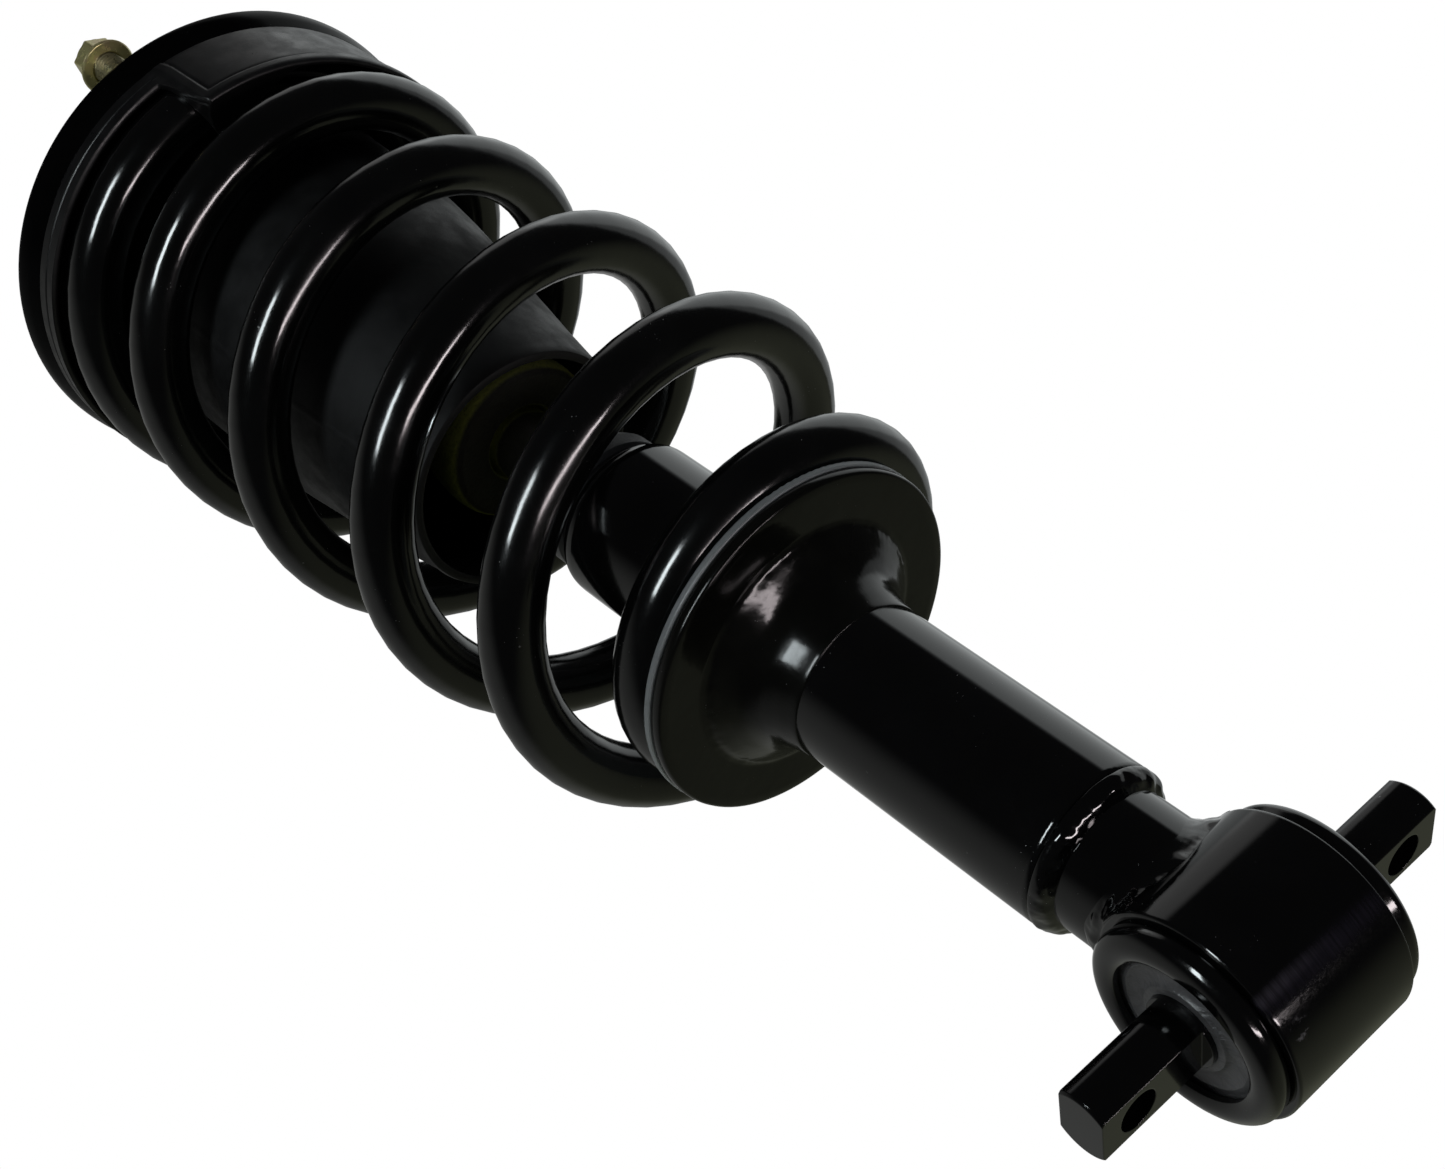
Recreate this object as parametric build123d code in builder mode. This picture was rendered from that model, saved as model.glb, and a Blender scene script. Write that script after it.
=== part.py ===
from build123d import *
import math
import os

# Coil-over strut: a lower bush eye with its bar pin, a twin-tube damper, the lower
# spring seat, the spring, the bump stop, the dust boot and the three-stud top mount.
# Millimetres. +Z runs up the strut towards the body mount and X along the bar pin.
# The origin is the centre of the bar pin. Each function builds one piece.

# ---- eye and bush ----
bar_r = 9.5
bar_half = 56.8          # half length of the bar
flat_half = 6.2          # half the distance across the two flats
flat_start = 25.0        # distance from the centre at which the flats begin
bolt_hole_r = 5.6
bolt_hole_x = 45.5       # half the hole spacing
eye_r = 28.5
eye_bore_r = 24.4
eye_half = 19.6          # half length of the eye
eye_cut_half = 60.0      # half length of the cylinder that cuts saddles to the eye
can_bore_r = 22.6        # steel can of the bush, along its middle
rubber_bore_r = 9.55

# ---- damper tubes ----
stub_r = 19.0
wall = 2.0
tube_z0 = 47.5           # bottom end of the outer tube
tube_top = 224.5
tube_r = 22.7            # outer tube below the spring seat
tube_up_r = 23.7         # outer tube above the spring seat
tube_bore_r = tube_r - wall
tube_up_bore_r = tube_up_r - wall
roll_r = 17.2            # where the rolled top of the tube becomes flat
base_cap_top = 54.0
pipe_in = 15.0           # pressure tube
pipe_out = 16.5
pipe_z0 = 60.0
pipe_top = 208.0
guide_bore_r = 12.5
guide_z0 = 203.0
guide_top = 217.0

# ---- lower spring seat ----
seat_z = 146.6           # underside of the spring seat
seat_top = 150.4
seat_r = 50.3
hub_r = 36.8             # where the hub leaves the flat of the seat
hub_z = 128.4            # bottom lip of the hub
pad_top = 152.6
pad_r = 50.6

# ---- spring ----
wire_r = 8.9
spring_from, spring_to = -0.13, 5.55    # turns
spring_phase = 193.5                    # degrees at turn 0
spring_steps = 100
# Centreline stations: turns from the lower end, height, coil radius.
spring_table = [
    (-0.40, 161.60, 39.9), (0.00, 161.60, 41.9), (0.20, 162.00, 45.3),
    (0.40, 164.40, 52.0), (0.70, 174.20, 58.9), (1.20, 201.90, 64.0),
    (1.70, 228.80, 63.6), (2.70, 290.60, 64.3), (3.70, 347.80, 64.7),
    (4.20, 371.80, 66.0), (4.70, 393.00, 66.8), (5.20, 408.40, 63.6),
    (5.70, 415.40, 62.0),
]

# ---- rod and piston ----
rod_r = 11.0
rod_tail_r = 5.0         # turned-down lower end, through the piston
rod_neck_r = 7.5         # turned-down upper end, through the core sleeve
rod_thread_r = 6.0       # upper end, through the rod nut
rod_top = 469.0
piston_z0 = 178.0
piston_top = 190.2
shim_t = 1.8             # thickness of each shim stack
groove_r = 13.4          # floor of the groove for the piston band
groove_z0, groove_top = 180.0, 188.0
piston_nut_t = 6.0

# ---- bump stop and boot ----
bump_low = 268.0
bump_high = 376.0
bump_bore_r = rod_r + 1.0
boot_mouth_z = 262.3
boot_wall = 2.4
boot_roof_z = 400.5      # underside of the roof
boot_collar_r = 45.8
boot_collar_bore_r = 43.2

# ---- top mount ----
plate_z = 430.0          # underside of the plate's floor
plate_t = 3.0
plate_top = plate_z + plate_t
plate_r = 76.9
rim_z = 420.4
rim_r = 75.0             # bottom edge of the plate's rim
rim_bore_r = 73.0
cup_r = 33.0             # raised centre cup
cup_bore_r = cup_r - plate_t
cup_top = 453.0
cup_ceiling = cup_top - plate_t
cup_hole_r = 18.0
core_r = 12.0
core_z0 = 425.0
core_top = 452.0
washer_z = 453.4
washer_t = 2.6
stud_ring_r = 70.0
stud_angle = 258.4
stud_r = 5.0
stud_knurl_r = 5.4
stud_end_r = 4.8         # the length under each nut
stud_step = 9.8          # length of each of the two parts above the plate, first part
stud_end_length = 9.0


# ======================= helpers =======================

def turned(outline):
    """Revolve a closed outline of (radius, height) points about Z."""
    with BuildPart() as piece:
        with BuildSketch(Plane.XZ):
            with BuildLine():
                Polyline(*outline, close=True)
            make_face()
        revolve(axis=Axis.Z)
    return piece.part


def outer_circles(piece, radius):
    """The circular edges of a piece that lie at its outer radius."""
    return piece.edges().filter_by(
        lambda e: e.geom_type == GeomType.CIRCLE and e.radius > radius - 0.1
    )


def ring(outer_r, inner_r, bottom, top, edge_r=None):
    """A ring about Z, its two outer edges rounded if edge_r is given."""
    with BuildPart() as piece:
        with BuildSketch(Plane.XY.offset(bottom)):
            Circle(outer_r)
            Circle(inner_r, mode=Mode.SUBTRACT)
        extrude(amount=top - bottom)
        if edge_r is not None:
            fillet(outer_circles(piece, outer_r), radius=edge_r)
    return piece.part


def stacked_rings(rings):
    """Rings about Z in one piece, each given as (bottom, height, outer, inner radius)."""
    with BuildPart() as piece:
        for bottom, height, outer_r, inner_r in rings:
            with BuildSketch(Plane.XY.offset(bottom)):
                Circle(outer_r)
                Circle(inner_r, mode=Mode.SUBTRACT)
            extrude(amount=height)
    return piece.part


def hex_nut(half_across_flats, bore_r, bottom, height):
    with BuildPart() as piece:
        with BuildSketch(Plane.XY.offset(bottom)):
            RegularPolygon(half_across_flats, 6, major_radius=False)
            Circle(bore_r, mode=Mode.SUBTRACT)
        extrude(amount=height)
    return piece.part


def stud_places():
    return PolarLocations(stud_ring_r, 3, start_angle=stud_angle)


# ======================= lower end =======================

def bar_pin():
    """Round bar with two flats and one bolt hole at each end."""
    flat_cut_length = 80.0
    hole_cut_half = 20.0
    with BuildPart() as piece:
        with BuildSketch(Plane.YZ.offset(-bar_half)):
            Circle(bar_r)
        extrude(amount=2 * bar_half)
        chamfer(piece.edges().filter_by(GeomType.CIRCLE), length=0.6)
        for side in (-1, 1):
            for up in (-1, 1):
                with BuildSketch(Plane.XY.offset(up * flat_half)):
                    with Locations((side * (flat_start + flat_cut_length / 2), 0)):
                        Rectangle(flat_cut_length, 40)
                extrude(amount=up * 10, mode=Mode.SUBTRACT)
        with BuildSketch(Plane.XY.offset(-hole_cut_half)):
            with Locations((-bolt_hole_x, 0), (bolt_hole_x, 0)):
                Circle(bolt_hole_r)
        extrude(amount=2 * hole_cut_half, mode=Mode.SUBTRACT)
    return piece.part


def eye_sleeve():
    """Eye sleeve welded to the bottom of the strut."""
    with BuildPart() as piece:
        with BuildSketch(Plane.YZ.offset(-eye_half)):
            Circle(eye_r)
            Circle(eye_bore_r, mode=Mode.SUBTRACT)
        extrude(amount=2 * eye_half)
        fillet(outer_circles(piece, eye_r), radius=0.9)
    return piece.part


def bush_can():
    """Steel can of the bush, rolled outwards and inwards at both ends."""
    # Half outline as (x, radius), revolved about X and mirrored.
    lip_start = (25.0, 19.2)
    lip_end = (21.9, 26.6)
    with BuildPart() as piece:
        with BuildSketch(Plane.XY):
            with BuildLine():
                Polyline((0, can_bore_r), (22.2, can_bore_r), (23.4, 19.2), lip_start)
                Spline(lip_start, (25.9, 21.6), (25.3, 24.6), (23.6, 26.4), lip_end)
                Polyline(
                    lip_end, (20.4, 26.4), (eye_half, 25.6), (eye_half, eye_bore_r),
                    (0, eye_bore_r), (0, can_bore_r),
                )
            make_face()
        revolve(axis=Axis.X)
        mirror(about=Plane.YZ)
    return piece.part


def bush_rubber():
    """Rubber of the bush, dished at both faces."""
    # Half outline as (x, radius), revolved about X and mirrored.
    dish_start = (23.6, 11.6)
    dish_end = (23.0, 17.2)
    with BuildPart() as piece:
        with BuildSketch(Plane.XY):
            with BuildLine():
                Polyline((0, rubber_bore_r), (dish_start[0], rubber_bore_r), dish_start)
                Spline(dish_start, (22.5, 13.0), (22.3, 15.0), dish_end)
                Polyline(
                    dish_end, (22.2, 19.1), (22.2, can_bore_r), (0, can_bore_r),
                    (0, rubber_bore_r),
                )
            make_face()
        revolve(axis=Axis.X)
        mirror(about=Plane.YZ)
    return piece.part


def base_stub():
    """Stub between the eye and the bottom of the outer tube, saddled onto the eye."""
    start_z = 8.0        # inside the eye, before the saddle is cut
    with BuildPart() as piece:
        with BuildSketch(Plane.XY.offset(start_z)):
            Circle(stub_r)
        extrude(amount=tube_z0 - start_z)
        with BuildSketch(Plane.YZ.offset(-eye_cut_half)):
            Circle(eye_r)
        extrude(amount=2 * eye_cut_half, mode=Mode.SUBTRACT)
    return piece.part


def eye_weld():
    """Saddle weld between the stub and the eye."""
    low_z, high_z = 12.0, 33.6
    bead_start = (25.0, 20.0)
    end_gap = 0.1        # the weld stops this far short of each end of the eye
    with BuildPart() as piece:
        with BuildSketch(Plane.XZ):
            with BuildLine():
                Polyline((stub_r, low_z), (27.0, low_z), bead_start)
                Spline(bead_start, (22.6, 25.0), (20.6, 30.2), (stub_r, high_z))
                Line((stub_r, high_z), (stub_r, low_z))
            make_face()
        revolve(axis=Axis.Z)
        with BuildSketch(Plane.YZ.offset(-eye_cut_half)):
            Circle(eye_r)
        extrude(amount=2 * eye_cut_half, mode=Mode.SUBTRACT)
        for side in (1, -1):
            with BuildSketch(Plane.YZ.offset(side * (eye_half - end_gap))):
                Rectangle(90, 90)
            extrude(amount=side * 30, mode=Mode.SUBTRACT)
    return piece.part


def tube_weld():
    """Weld bead closing the bottom of the outer tube onto the stub."""
    outer_r = tube_r - 0.2
    low_z = 42.6
    with BuildPart() as piece:
        with BuildSketch(Plane.XZ):
            with BuildLine():
                Polyline((stub_r, tube_z0), (outer_r, tube_z0))
                Spline((outer_r, tube_z0), (22.3, 45.4), (20.9, 43.4), (stub_r, low_z))
                Line((stub_r, low_z), (stub_r, tube_z0))
            make_face()
        revolve(axis=Axis.Z)
    return piece.part


# ======================= damper body =======================

def reservoir_tube():
    """Outer tube: stepped out a little under the spring seat, rolled in at the top."""
    foot = (tube_r - 0.9, tube_z0)
    foot_end = (tube_r, tube_z0 + 1.6)
    step_z0, step_top = 131.4, 139.4            # outside of the step
    step_in_z0, step_in_top = 131.8, 140.2      # inside of the step
    roll_z = 216.5
    mouth_r = 13.6
    lip_z = tube_top - wall
    with BuildPart() as piece:
        with BuildSketch(Plane.XZ):
            with BuildLine():
                Polyline((tube_bore_r, tube_z0), foot)
                Spline(
                    foot, (tube_r - 0.25, tube_z0 + 0.6), foot_end,
                    tangents=((1, 0.2), (0, 1)),
                )
                Line(foot_end, (tube_r, step_z0))
                Spline(
                    (tube_r, step_z0), (23.2, 135.4), (tube_up_r, step_top),
                    tangents=((0, 1), (0, 1)),
                )
                Line((tube_up_r, step_top), (tube_up_r, roll_z))
                Spline(
                    (tube_up_r, roll_z), (22.9, 220.4), (20.6, 223.3), (roll_r, tube_top),
                    tangents=((0, 1), (-1, 0)),
                )
                Polyline(
                    (roll_r, tube_top), (mouth_r, tube_top), (mouth_r, lip_z), (roll_r, lip_z)
                )
                Spline(
                    (roll_r, lip_z), (19.6, 221.4), (21.2, 219.2), (tube_up_bore_r, roll_z),
                    tangents=((1, 0), (0, -1)),
                )
                Line((tube_up_bore_r, roll_z), (tube_up_bore_r, step_in_top))
                Spline(
                    (tube_up_bore_r, step_in_top), (21.2, 136.0), (tube_bore_r, step_in_z0),
                    tangents=((0, -1), (0, -1)),
                )
                Line((tube_bore_r, step_in_z0), (tube_bore_r, tube_z0))
            make_face()
        revolve(axis=Axis.Z)
    return piece.part


def base_cap():
    """Base cap pressed into the bottom of the outer tube."""
    return turned([
        (0, tube_z0), (tube_bore_r, tube_z0), (tube_bore_r, 58.0), (18.4, 58.0),
        (17.4, base_cap_top), (0, base_cap_top),
    ])


def base_valve():
    """Base valve standing on the base cap, spigoted into the pressure tube."""
    outline = [
        (0, base_cap_top), (17.0, base_cap_top), (17.0, pipe_z0), (pipe_in, pipe_z0),
        (pipe_in, 68.0), (9.0, 68.0), (9.0, 72.0), (0, 72.0),
    ]
    with BuildPart() as piece:
        with BuildSketch(Plane.XZ):
            with BuildLine():
                Polyline(*outline, close=True)
            make_face()
        revolve(axis=Axis.Z)
        # Ring of through holes.
        with BuildSketch(Plane.XY.offset(50)):
            with PolarLocations(12.0, 6):
                Circle(1.6)
        extrude(amount=30, mode=Mode.SUBTRACT)
        # Slot across the underside.
        with BuildSketch(Plane.XY.offset(base_cap_top)):
            Rectangle(40, 4)
        extrude(amount=2.5, mode=Mode.SUBTRACT)
    return piece.part


def pressure_tube():
    """Pressure tube the piston runs in."""
    return ring(pipe_out, pipe_in, pipe_z0, pipe_top)


def rod_guide():
    """Rod guide, spigoted into the top of the pressure tube."""
    return turned([
        (guide_bore_r, guide_z0), (pipe_in, guide_z0), (pipe_in, pipe_top),
        (tube_up_bore_r, pipe_top), (tube_up_bore_r, 215.4), (19.4, guide_top),
        (guide_bore_r, guide_top),
    ])


def guide_bushing():
    """Plain bearing lining the rod guide, half a millimetre short at each end."""
    return ring(guide_bore_r, rod_r + 0.03, guide_z0 + 0.5, guide_top - 0.5)


def oil_seal():
    """Oil seal under the rolled top of the outer tube, with its wiper lip."""
    bore_r = rod_r + 0.04
    return turned([
        (bore_r, guide_top), (19.2, guide_top), (18.6, 219.8), (16.6, 222.2),
        (13.4, 222.4), (13.4, 224.8), (bore_r, 226.2),
    ])


def striker_cap():
    """Striker cap on top of the tube, the face the bump stop lands on."""
    return turned([
        (roll_r, tube_top), (19.6, tube_top + 0.4), (20.9, 226.0), (20.9, 231.6),
        (19.8, 234.0), (12.4, 234.0), (12.4, 230.6), (roll_r, 230.6),
    ])


# ======================= lower spring seat =======================

def lower_seat():
    """Pressed seat: flat annulus, round rim and a flared hub drawn down along the tube."""
    top_arc_r, bottom_arc_r = 1.0, 0.9
    bore_z0 = 139.6
    lip_bore_r = 22.85
    hub_end = (23.65, hub_z)
    hub_lip = (lip_bore_r, hub_z - 0.4)
    with BuildPart() as piece:
        with BuildSketch(Plane.XZ):
            with BuildLine():
                Line((tube_up_r, bore_z0), (tube_up_r, seat_top))
                Line((tube_up_r, seat_top), (seat_r - top_arc_r, seat_top))
                RadiusArc(
                    (seat_r - top_arc_r, seat_top), (seat_r, seat_top - top_arc_r), top_arc_r
                )
                Line((seat_r, seat_top - top_arc_r), (seat_r, seat_z + bottom_arc_r))
                RadiusArc(
                    (seat_r, seat_z + bottom_arc_r), (seat_r - bottom_arc_r, seat_z),
                    bottom_arc_r,
                )
                Line((seat_r - bottom_arc_r, seat_z), (hub_r, seat_z))
                Spline(
                    (hub_r, seat_z), (35.4, 146.0), (33.8, 144.8), (31.0, 142.7),
                    (28.0, 140.2), (25.8, 137.4), (24.6, 134.6), (23.95, 131.5), hub_end,
                    tangents=((-1, 0), (0, -1)),
                )
                Line(hub_end, hub_lip)
                Polyline(
                    hub_lip, (lip_bore_r, 130.8), (tube_up_r, 135.0), (tube_up_r, bore_z0)
                )
            make_face()
        revolve(axis=Axis.Z)
    return piece.part


def seat_weld():
    """Weld bead between the tube and the top of the seat."""
    toe = (28.2, seat_top)
    crown = (tube_up_r, 155.0)
    with BuildPart() as piece:
        with BuildSketch(Plane.XZ):
            with BuildLine():
                Line((tube_up_r, seat_top), toe)
                Spline(toe, (27.2, 152.6), (25.4, 154.4), crown)
                Line(crown, (tube_up_r, seat_top))
            make_face()
        revolve(axis=Axis.Z)
    return piece.part


def seat_pad():
    """Thin pad between the seat and the spring."""
    return ring(pad_r, 30.0, seat_top, pad_top, edge_r=0.6)


# ======================= spring =======================

def spring_value(turns, column):
    """Cubic Hermite interpolation of one column of spring_table."""
    rows = spring_table
    slopes = []
    for i in range(len(rows)):
        before, after = rows[max(i - 1, 0)], rows[min(i + 1, len(rows) - 1)]
        slopes.append((after[column] - before[column]) / (after[0] - before[0]))
    i = max(k for k in range(len(rows) - 1) if rows[k][0] <= turns or k == 0)
    span = rows[i + 1][0] - rows[i][0]
    u = (turns - rows[i][0]) / span
    return (
        (2 * u**3 - 3 * u**2 + 1) * rows[i][column]
        + (u**3 - 2 * u**2 + u) * span * slopes[i]
        + (3 * u**2 - 2 * u**3) * rows[i + 1][column]
        + (u**3 - u**2) * span * slopes[i + 1]
    )


def coil_point(turns):
    angle = math.radians(spring_phase + 360 * turns)
    radius = spring_value(turns, 2)
    return (radius * math.cos(angle), radius * math.sin(angle), spring_value(turns, 1))


def coil_spring():
    """Coil spring with both end turns drawn in and laid down."""
    points = [
        coil_point(spring_from + (spring_to - spring_from) * k / spring_steps)
        for k in range(spring_steps + 1)
    ]
    with BuildPart() as piece:
        with BuildLine() as centre_line:
            Spline(*points)
        path = centre_line.line
        with BuildSketch(Plane(origin=path @ 0, z_dir=path % 0)):
            Circle(wire_r)
        sweep(path=path, is_frenet=True)
    return piece.part


# ======================= rod and piston =======================

def piston_rod():
    """Bright rod, turned down at both ends, with two flats at the top."""
    outline = [
        (0, 169.0), (4.4, 169.0), (rod_tail_r, 169.6), (rod_tail_r, piston_top + shim_t),
        (rod_r, piston_top + shim_t), (rod_r, core_z0 - 1.5), (10.0, core_z0),
        (rod_neck_r, core_z0), (rod_neck_r, 452.0), (rod_thread_r, 453.0),
        (rod_thread_r, rod_top - 0.8), (5.2, rod_top), (0, rod_top),
    ]
    with BuildPart() as piece:
        with BuildSketch(Plane.XZ):
            with BuildLine():
                Polyline(*outline, close=True)
            make_face()
        revolve(axis=Axis.Z)
        with BuildSketch(Plane.XY.offset(463.0)):
            with Locations((6.6, 0), (-6.6, 0)):
                Rectangle(4.0, 14.0)
        extrude(amount=7.0, mode=Mode.SUBTRACT)
    return piece.part


def rebound_stop():
    """Rebound stop ring on the rod above the piston."""
    return ring(14.2, rod_r, 192.4, 200.4, edge_r=1.2)


def piston():
    """Piston with its oil passages and the groove for the band."""
    land_r = 14.4
    outline = [
        (rod_tail_r, piston_z0), (13.6, piston_z0), (land_r, 178.8), (land_r, groove_z0),
        (groove_r, groove_z0), (groove_r, groove_top), (land_r, groove_top),
        (land_r, 189.6), (13.8, piston_top), (rod_tail_r, piston_top),
    ]
    with BuildPart() as piece:
        with BuildSketch(Plane.XZ):
            with BuildLine():
                Polyline(*outline, close=True)
            make_face()
        revolve(axis=Axis.Z)
        with BuildSketch(Plane.XY.offset(170)):
            with PolarLocations(9.6, 8):
                Circle(1.5)
        extrude(amount=30, mode=Mode.SUBTRACT)
    return piece.part


def piston_band():
    """Low-friction band around the piston."""
    return ring(pipe_in - 0.03, groove_r, groove_z0, groove_top)


def valve_shims():
    """Shim stacks above and below the piston."""
    return stacked_rings([
        (piston_top, shim_t, 12.0, rod_tail_r),
        (piston_z0 - shim_t, shim_t, 11.6, rod_tail_r),
    ])


def piston_nut():
    """Nut holding the piston on the rod."""
    return hex_nut(8.5, rod_tail_r, piston_z0 - shim_t - piston_nut_t, piston_nut_t)


# ======================= bump stop and boot =======================

def bump_stop():
    """Foam bump stop, waisted between its bulges."""
    foot = (22.6, bump_low)
    head = (25.4, bump_high)
    mouth = (bump_bore_r, bump_low + 1.5)
    with BuildPart() as piece:
        with BuildSketch(Plane.XZ):
            with BuildLine():
                Polyline(mouth, (rod_r + 3.0, bump_low), foot)
                Spline(
                    foot, (24.8, 270.6), (25.2, 276.0), (23.6, 286.0), (19.2, 293.0),
                    (23.8, 300.0), (26.2, 309.0), (24.2, 319.0), (19.8, 326.0),
                    (24.6, 333.0), (27.0, 343.0), (26.6, 358.0), (26.0, 369.0), head,
                )
                Polyline(head, (bump_bore_r, bump_high), mouth)
            make_face()
        revolve(axis=Axis.Z)
    return piece.part


def bump_cup():
    """Pressed cup that carries the bump stop."""
    return turned([
        (bump_bore_r, bump_high), (28.0, bump_high), (29.6, 374.4), (29.6, 366.0),
        (31.6, 366.0), (31.6, 378.4), (24.0, 379.4), (22.0, 384.0), (22.0, 424.6),
        (bump_bore_r, 424.6), (bump_bore_r, 421.6), (19.6, 421.6), (19.6, 381.0),
        (18.0, 379.0), (bump_bore_r, 379.0),
    ])


def dust_boot():
    """Tapered dust boot, hanging slightly off the axis at its open mouth."""
    # Sections: height, centre x, centre y, radius. The first is the mouth.
    mouth = (boot_mouth_z, -6.1, 2.5, 37.7)
    middle = [(300.0, -4.6, 2.6, 43.6), (335.0, -2.4, 2.0, 49.0), (365.0, -0.9, 0.8, 51.6)]
    outside = [mouth, *middle, (403.5, 0.0, 0.0, 52.6)]
    # The inside starts just below the mouth, so that it cuts right through.
    inside = [
        (boot_mouth_z - 0.01, -6.1, 2.5, mouth[3] - boot_wall),
        *[(z, x, y, radius - boot_wall) for z, x, y, radius in middle],
        (boot_roof_z, 0.0, 0.0, 50.1),
    ]
    with BuildPart() as piece:
        for sections, mode in ((outside, Mode.ADD), (inside, Mode.SUBTRACT)):
            for z, x, y, radius in sections:
                with BuildSketch(Plane.XY.offset(z)):
                    with Locations((x, y)):
                        Circle(radius)
            loft(mode=mode)
        # Collar standing on the roof, bored through both.
        with BuildSketch(Plane.XY.offset(boot_roof_z)):
            Circle(boot_collar_r)
        extrude(amount=26.5)
        with BuildSketch(Plane.XY.offset(boot_roof_z - 1.5)):
            Circle(boot_collar_bore_r)
        extrude(amount=29.0, mode=Mode.SUBTRACT)
    return piece.part


# ======================= top mount =======================

def insulator():
    """Rubber insulator: flange against the plate, pilot inside the coil, outer lip,
    and a deeper skirt over the end turn of the spring."""
    lip_in = 72.9
    lap_z = 414.0        # top of the skirt outline, inside the lip
    body = [
        (boot_collar_r, 404.0), (52.0, 404.0), (53.3, 406.0), (53.3, 422.6), (66.0, 422.6),
        (70.6, 419.2), (lip_in, 415.2), (lip_in, 413.0), (73.6, 412.0), (74.6, 412.8),
        (rim_r, 415.0), (rim_r, rim_z), (rim_bore_r, rim_z), (rim_bore_r, 428.0),
        (71.0, plate_z), (boot_collar_r, plate_z),
    ]
    skirt = [
        (lip_in, lap_z), (lip_in, 392.4), (73.4, 390.0), (74.4, 389.6), (75.4, 391.4),
        (75.4, 394.4), (rim_r, 396.0), (rim_r, lap_z),
    ]
    # The skirt hangs from 263 to 343 degrees; this sector removes the rest of it.
    skirt_from, skirt_to = 263, 343
    cut_r = 110
    sector = [
        (cut_r * math.cos(math.radians(a)), cut_r * math.sin(math.radians(a)))
        for a in range(skirt_to - 360, skirt_from + 1, 20)
    ]
    with BuildPart() as piece:
        for outline in (body, skirt):
            with BuildSketch(Plane.XZ):
                with BuildLine():
                    Polyline(*outline, close=True)
                make_face()
            revolve(axis=Axis.Z)
        with BuildSketch(Plane.XY.offset(380.0)):
            with BuildLine():
                Polyline((0, 0), *sector, (0, 0))
            make_face()
            Circle(60.0, mode=Mode.SUBTRACT)
        extrude(amount=32.0, mode=Mode.SUBTRACT)
    return piece.part


def mount_plate():
    """Stamped plate: flat floor, turned-down rim and a raised centre cup."""
    floor_r = 73.4       # outer edge of the flat top of the floor
    foot_arc_r = 3.0     # between floor and cup
    top_arc_r = 4.0      # between the cup's side and top
    with BuildPart() as piece:
        with BuildSketch(Plane.XZ):
            with BuildLine():
                Polyline((rim_bore_r, plate_z), (rim_bore_r, rim_z), (rim_r, rim_z))
                Spline(
                    (rim_r, rim_z), (76.2, 424.4), (76.8, 428.0), (plate_r, plate_z),
                    tangents=((0.25, 1), (0, 1)),
                )
                Spline(
                    (plate_r, plate_z), (75.9, 432.3), (floor_r, plate_top),
                    tangents=((0, 1), (-1, 0)),
                )
                Polyline((floor_r, plate_top), (cup_r + foot_arc_r, plate_top))
                RadiusArc(
                    (cup_r + foot_arc_r, plate_top), (cup_r, plate_top + foot_arc_r),
                    foot_arc_r,
                )
                Line((cup_r, plate_top + foot_arc_r), (cup_r, cup_top - top_arc_r))
                RadiusArc(
                    (cup_r, cup_top - top_arc_r), (cup_r - top_arc_r, cup_top), -top_arc_r
                )
                Polyline(
                    (cup_r - top_arc_r, cup_top), (cup_hole_r, cup_top),
                    (cup_hole_r, cup_ceiling), (cup_bore_r, cup_ceiling),
                    (cup_bore_r, plate_z), (rim_bore_r, plate_z),
                )
            make_face()
        revolve(axis=Axis.Z)
        with BuildSketch(Plane.XY.offset(425)):
            with stud_places():
                Circle(stud_knurl_r)
        extrude(amount=20, mode=Mode.SUBTRACT)
    return piece.part


def cup_retainer():
    """Retainer closing the centre cup from below."""
    return turned([(16.0, 427.0), (43.0, 427.0), (43.0, plate_z), (16.0, plate_z)])


def mount_cushion():
    """Rubber cushion inside the centre cup."""
    return turned([
        (core_r, plate_z), (cup_bore_r, plate_z), (cup_bore_r, cup_ceiling),
        (cup_hole_r, cup_ceiling), (17.2, core_top), (core_r, core_top),
    ])


def core_sleeve():
    """Steel core bonded in the cushion and clamped on the rod."""
    return turned([
        (rod_neck_r, core_z0), (15.0, core_z0), (15.0, 428.0), (core_r, plate_z),
        (core_r, core_top), (rod_neck_r, core_top),
    ])


def rod_washer():
    """Washer under the rod nut, with a narrower ring down to the core sleeve."""
    return stacked_rings([
        (washer_z, washer_t, 16.5, rod_thread_r + 0.1),
        (core_top, washer_z - core_top, core_r, rod_neck_r + 0.1),
    ])


def rod_nut():
    """Nut clamping the rod to the core sleeve."""
    return hex_nut(9.0, rod_thread_r, washer_z + washer_t, 7.0)


def mount_studs():
    """Three studs pressed into the plate by a wider shank, narrower under each nut."""
    # Lengths of each stud: bottom, height, radius.
    lengths = [
        (plate_top, stud_step, stud_r),
        (plate_z, plate_t, stud_knurl_r),
        (plate_top + stud_step, stud_end_length, stud_end_r),
    ]
    with BuildPart() as piece:
        for bottom, height, radius in lengths:
            with BuildSketch(Plane.XY.offset(bottom)):
                with stud_places():
                    Circle(radius)
            extrude(amount=height)
        chamfer(piece.faces().filter_by(Axis.Z).group_by(Axis.Z)[-1].edges(), length=0.7)
    return piece.part


def stud_nuts():
    """Flange nuts started on the ends of the studs."""
    bottom = plate_top + 10.4
    flange_t = 1.6
    with BuildPart() as piece:
        with BuildSketch(Plane.XY.offset(bottom)):
            with stud_places():
                Circle(9.0)
        extrude(amount=flange_t)
        with BuildSketch(Plane.XY.offset(bottom + flange_t)):
            with stud_places():
                RegularPolygon(6.5, 6, major_radius=False)
        extrude(amount=7.6)
        chamfer(piece.faces().filter_by(Axis.Z).group_by(Axis.Z)[-1].edges(), length=0.6)
        with BuildSketch(Plane.XY.offset(bottom - 5)):
            with stud_places():
                Circle(stud_end_r)
        extrude(amount=30, mode=Mode.SUBTRACT)
    return piece.part


# ======================= export =======================

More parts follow.
